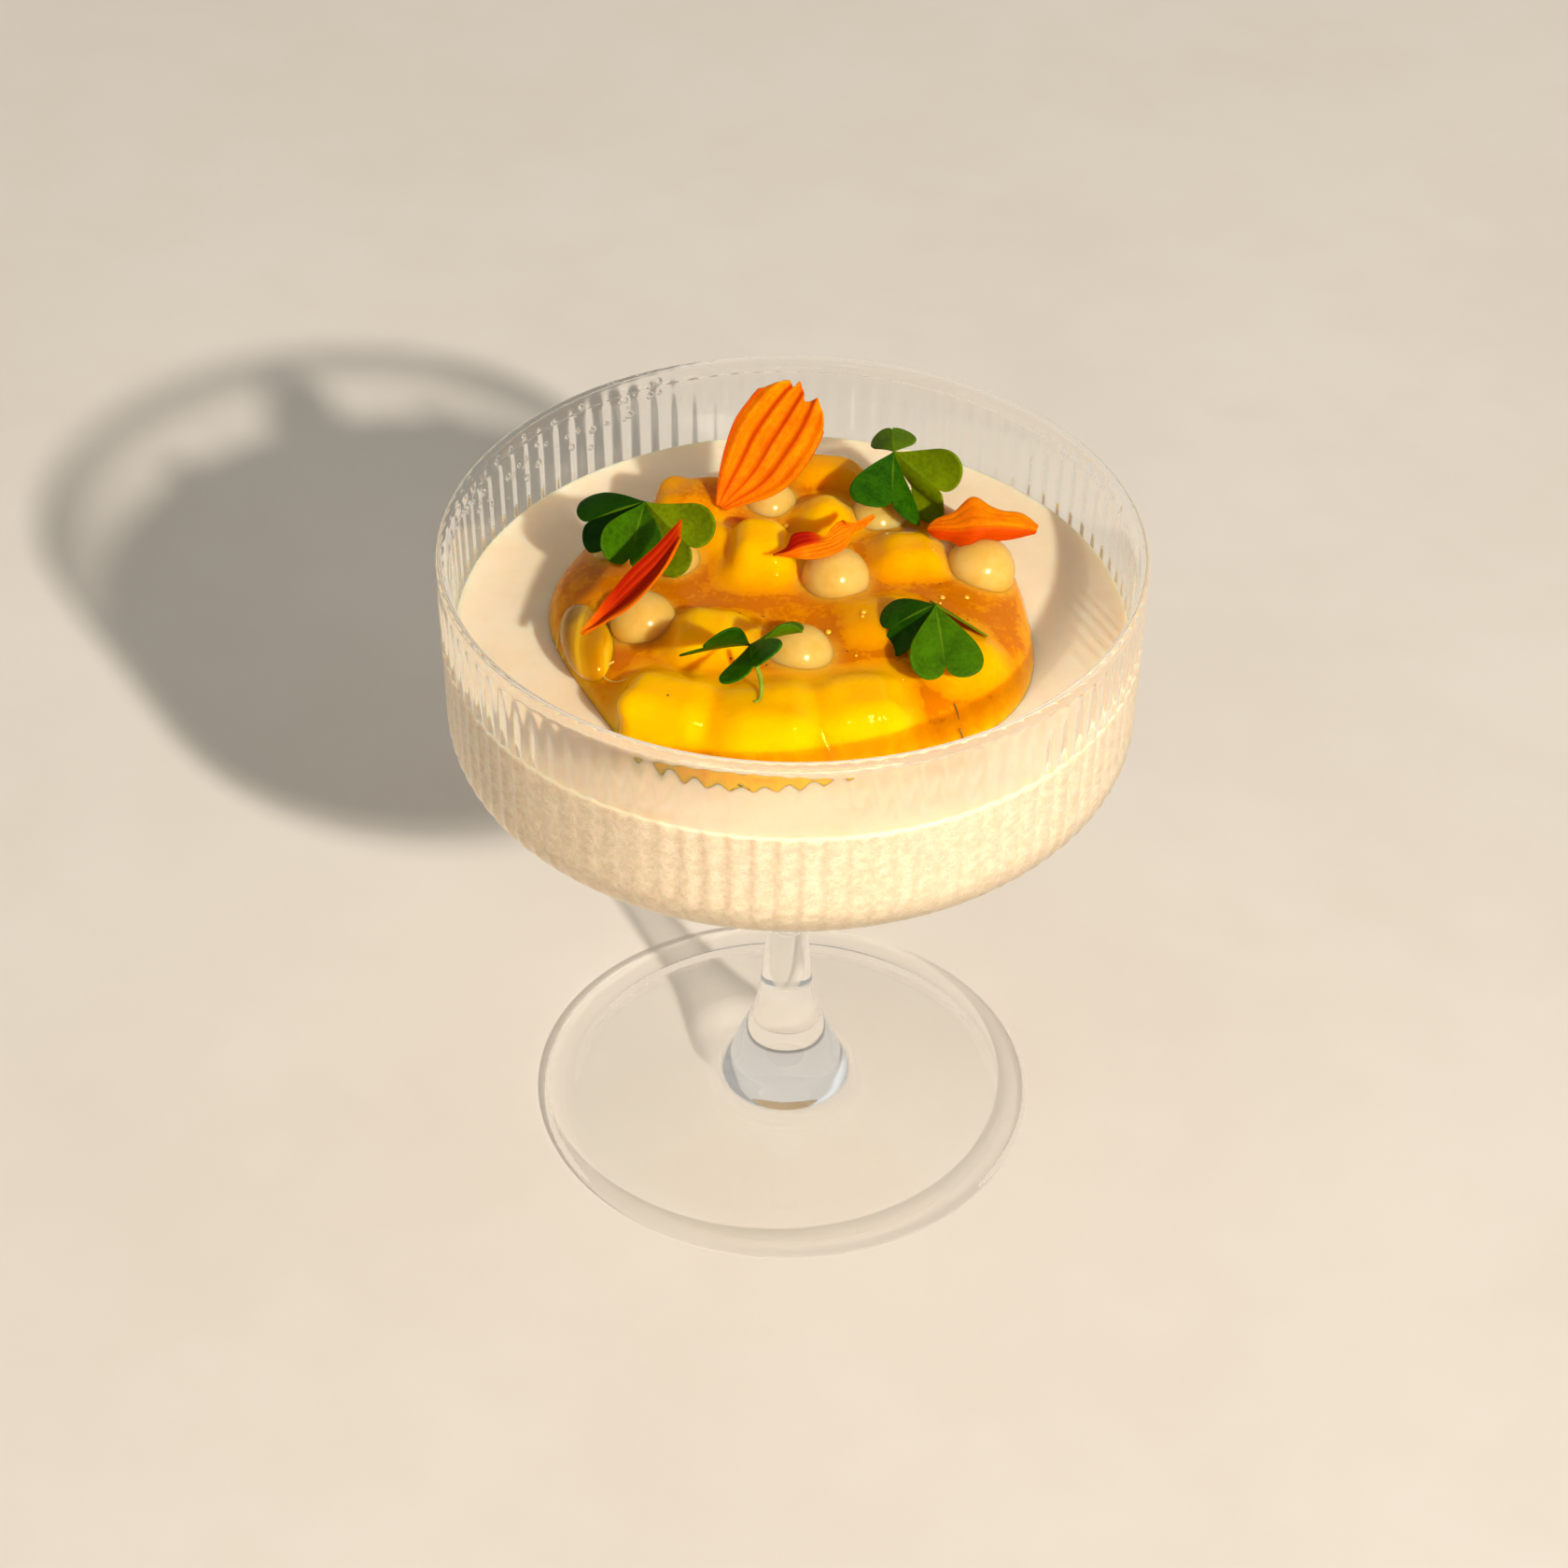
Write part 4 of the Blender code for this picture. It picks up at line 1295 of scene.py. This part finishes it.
def scatter_tree(finish):
    group, given, out = geometry_tree("bits scattered on a skin", {
        "Per square metre": 1000.0, "Seed": 1, "Smallest": 0.1 * MM, "Largest": 0.2 * MM,
        "Flatness": 0.6})
    share = node(group, "GeometryNodeInputNamedAttribute", {"Name": "bit_share"}, data_type="FLOAT")
    dense = product(group, share.outputs["Attribute"], given["Per square metre"])
    spread = node(group, "GeometryNodeDistributePointsOnFaces", {
        "Mesh": given["Geometry"], "Seed": given["Seed"], "Density": dense}).outputs
    size = node(group, "FunctionNodeRandomValue", {"Seed": given["Seed"]}, data_type="FLOAT")
    plain = [socket for socket in size.inputs if socket.type == "VALUE"]
    join(group, given["Smallest"], plain[0])
    join(group, given["Largest"], plain[1])
    reach = next(socket for socket in size.outputs if socket.type == "VALUE")
    tall = product(group, reach, given["Flatness"])
    form = node(group, "ShaderNodeCombineXYZ", {0: reach, 1: reach, 2: tall})
    ball = node(group, "GeometryNodeMeshIcoSphere", {"Radius": 1.0, "Subdivisions": 2})
    placed = node(group, "GeometryNodeInstanceOnPoints", {
        "Points": spread["Points"], "Instance": ball.outputs["Mesh"],
        "Rotation": spread["Rotation"], "Scale": form.outputs[0]})
    close_tree(group, placed.outputs["Instances"], out, finish)
    return group


def plain_finish(name, light, dark, roughness, gloss=0.5):
    made, tree, shader, place = new_finish(name)
    tone = wandering(tree, place, 500.0, light, dark, 0.4)
    finish_with(tree, shader, tone, Roughness=roughness, Subsurface_Weight=0.6,
                Subsurface_Radius=(1.0, 0.8, 0.2), Subsurface_Scale=0.8 * MM,
                Specular_IOR_Level=gloss)
    return made


# %% Strands
def height_at(x, y):
    near = np.hypot(skin_at[:, 0] - x, skin_at[:, 1] - y) < 0.5
    return skin_at[near, 2].max() if near.any() else CREAM_LEVEL


def strands(name, paths, finish, radius, tip_share, slot, solid):
    """Tubes along smooth curves; a point without a height lies on the compote's skin."""
    points, edges = [], []
    for path in paths:
        spots = [at if len(at) == 3 else (*at, height_at(*at) + 0.05) for at in path]
        line = smooth_line(spots, 24)
        edges += [(len(points) + step, len(points) + step + 1) for step in range(23)]
        points += line.tolist()
    mesh = bpy.data.meshes.new("path")
    mesh.from_pydata((np.array(points) * MM).tolist(), edges, [])
    guide = stand("path", mesh)
    tube = grow(guide, strand_tree(finish), Radius=radius * MM, Tip_share=tip_share)
    bpy.data.objects.remove(guide)
    hand_over(add_mesh(name, tube, finish), slot, solid)


STALK = plain_finish("stalk green", (150, 166, 30), (118, 138, 14), 0.35)
SKIN_SHREDS = plain_finish("pale shreds", (238, 200, 96), (220, 170, 50), 0.25)
FIBRE = plain_finish("brown fibre", (150, 112, 4), (112, 84, 2), 0.5)
strands("sorrel_stalk", [[(-5.6, -26.0, 107.6), (-4.9, -27.7, 106.6), (-4.3, -29.2, 105.4),
                          (-4.2, -30.4, 104.4), (-4.5, -31.5, 103.6), (-5.2, -32.1)]],
        STALK, 0.42, 0.6, "leaf", "sprig_3")
strands("jelly_shreds", [
    [(-25.5, -17.6), (-26.7, -18.1), (-27.1, -19.0), (-26.3, -20.5), (-24.8, -21.8),
     (-23.2, -23.1)],
    [(-33.3, -11.2), (-32.6, -9.7), (-31.6, -8.5), (-30.2, -7.5), (-28.3, -6.7)],
    [(-34.3, -8.7), (-33.8, -6.2), (-32.8, -4.8), (-32.1, -2.9)],
], SKIN_SHREDS, 0.16, 0.5, "jelly", "jelly_slice")
strands("brown_fibres", [
    [(23.2, -25.8), (23.6, -26.8), (23.9, -27.7)],
    [(24.0, -28.6), (24.6, -29.1), (25.2, -29.6), (25.5, -30.5)],
], FIBRE, 0.15, 0.5, "sauce", "mango_sauce")


# %% Specks and beads
def scattered(name, surface, shares, finish, slot, solid, **values):
    """Bits on a copy of a surface, dense where the shares are high."""
    bare = add_mesh("bare", surface.data.copy(), finish)
    carry(bare.data, "bit_share", shares)
    bits = grow(bare, scatter_tree(finish), **values)
    bpy.data.meshes.remove(bare.data)
    hand_over(add_mesh(name, bits, finish), slot, solid)


facing_up = np.zeros(3 * len(skin.data.vertices))
skin.data.vertices.foreach_get("normal", facing_up)
open_sauce = np.clip(facing_up.reshape(-1, 3)[:, 2], 0, 1) ** 2 * (pearl_gap > 0.8)
front_right = np.exp(-((skin_at[:, 0] - 12) ** 2 + (skin_at[:, 1] + 24) ** 2) / 14**2)
BEAD = plain_finish("bead of sauce", (246, 184, 0), (238, 166, 0), 0.2, gloss=1.0)
SPECK = plain_finish("dark specks", (70, 30, 4), (34, 14, 2), 0.5)
scattered("dark_specks", skin, open_sauce, SPECK, "sauce", "mango_sauce",
          Per_square_metre=5000.0, Seed=5, Smallest=0.08 * MM, Largest=0.17 * MM, Flatness=0.7)
scattered("sauce_beads", skin, open_sauce * (0.2 + 1.5 * front_right), BEAD, "sauce",
          "mango_sauce", Per_square_metre=14000.0, Seed=11, Smallest=0.22 * MM,
          Largest=0.5 * MM, Flatness=0.85)
DROPLETS_ABOVE = 99.0
DROPLETS_BETWEEN = (112.0, 168.0)
wall_x, wall_y, wall_z = points_of(coupe.data).T
turn = np.degrees(np.arctan2(wall_y, wall_x))
inside = np.hypot(wall_x, wall_y) < inner_radius(wall_z) + 0.4
start, end = DROPLETS_BETWEEN
misted = inside & (wall_z > DROPLETS_ABOVE) & (turn > start) & (turn < end)
scattered("wall_droplets", coupe, misted.astype(float), GLASS, "clear_glass", "glass",
          Per_square_metre=150000.0, Seed=3, Smallest=0.25 * MM, Largest=0.75 * MM, Flatness=0.35)


# %% [markdown]
# ## Floor and light
#
# A plain pale table, one small warm lamp, low at the front right, that gives the crisp
# shadows, and a pale room that fills them. Clear glass is drawn by what it bends, and with
# light from everywhere it would vanish. So a ray that has passed through glass finds the room
# dark near the horizon and pale above.

# %% Floor
def pale_table():
    made, tree, shader, place = new_finish("pale table")
    tone = wandering(tree, place, 14.0, (230, 222, 210), (226, 217, 204), 0.3)
    finish_with(tree, shader, tone, Roughness=0.85)
    return made


FLOOR_HALF = 3000.0
corners = [(-FLOOR_HALF, -FLOOR_HALF, 0), (FLOOR_HALF, -FLOOR_HALF, 0),
           (FLOOR_HALF, FLOOR_HALF, 0), (-FLOOR_HALF, FLOOR_HALF, 0)]
floor = add_piece("pale_floor", corners, [(0, 1, 2, 3)], pale_table())

# %% Lamp
LAMP_AZIMUTH = math.radians(-61.6)
LAMP_HEIGHT = math.radians(30.2)
LAMP_DISTANCE = 2.4
LAMP_SIZE = 0.09
LAMP_POWER = 73.0
LAMP_AIM_Z = 0.09
lamp_data = bpy.data.lights.new("lamp", "AREA")
lamp_data.shape = "DISK"
lamp_data.size = LAMP_SIZE
lamp_data.energy = LAMP_POWER
lamp_data.color = (1.0, 0.93, 0.85)
lamp = stand("lamp", lamp_data)
towards = Vector((math.cos(LAMP_AZIMUTH) * math.cos(LAMP_HEIGHT),
                  math.sin(LAMP_AZIMUTH) * math.cos(LAMP_HEIGHT), math.sin(LAMP_HEIGHT)))
lamp.location = Vector((0, 0, LAMP_AIM_Z)) + towards * LAMP_DISTANCE
lamp.rotation_euler = towards.to_track_quat("Z", "Y").to_euler()
print("lamp at", [round(value, 2) for value in lamp.location])

# %% Room
ROOM_THROUGH_GLASS = 0.8

world = bpy.data.worlds.new("room")
world.use_nodes = True
bpy.context.scene.world = world
room = world.node_tree
x, y, z = parts_of(room, node(room, "ShaderNodeTexCoord").outputs["Generated"])[:3]
sky = ramp(room, z, (0.0, (0.47, 0.42, 0.36, 1)), (0.25, (0.41, 0.39, 0.36, 1)),
           (1.0, (0.35, 0.355, 0.345, 1)))
low = maths(room, "SUBTRACT", 1.0, product(room, z, 2.2), clamp=True)
front = product(room, maths(room, "SUBTRACT", -0.45, y), 4.0, clamp=True)
dark = product(room, product(room, low, front), 0.5)
sky = blend_colours(room, dark, sky, (0.24, 0.23, 0.21, 1))
left = product(room, maths(room, "SUBTRACT", -0.62, x), 5.0, clamp=True)
upper = product(room, maths(room, "SUBTRACT", z, 0.05), 6.0, clamp=True)
window = product(room, product(room, left, upper), low)
sky = blend_colours(room, window, sky, (1.25, 1.25, 1.22, 1))
behind_glass = ramp(room, z, (0.0, (0.10, 0.095, 0.085, 1)), (0.10, (0.20, 0.185, 0.165, 1)),
                    (0.26, (0.66, 0.60, 0.52, 1)), (1.0, (0.76, 0.69, 0.60, 1)))
rays = node(room, "ShaderNodeLightPath").outputs
through = product(room, rays["Is Transmission Ray"], ROOM_THROUGH_GLASS)
shown = blend_colours(room, through, sky, behind_glass)
shown = blend_colours(room, rays["Is Camera Ray"], shown, (0.62, 0.60, 0.57, 1))
join(room, shown, room.nodes["Background"].inputs["Color"])
room.nodes["Background"].inputs["Strength"].default_value = 1.0
bpy.context.scene.view_settings.view_transform = "Standard"
print("the room's light has", len(room.nodes), "nodes")
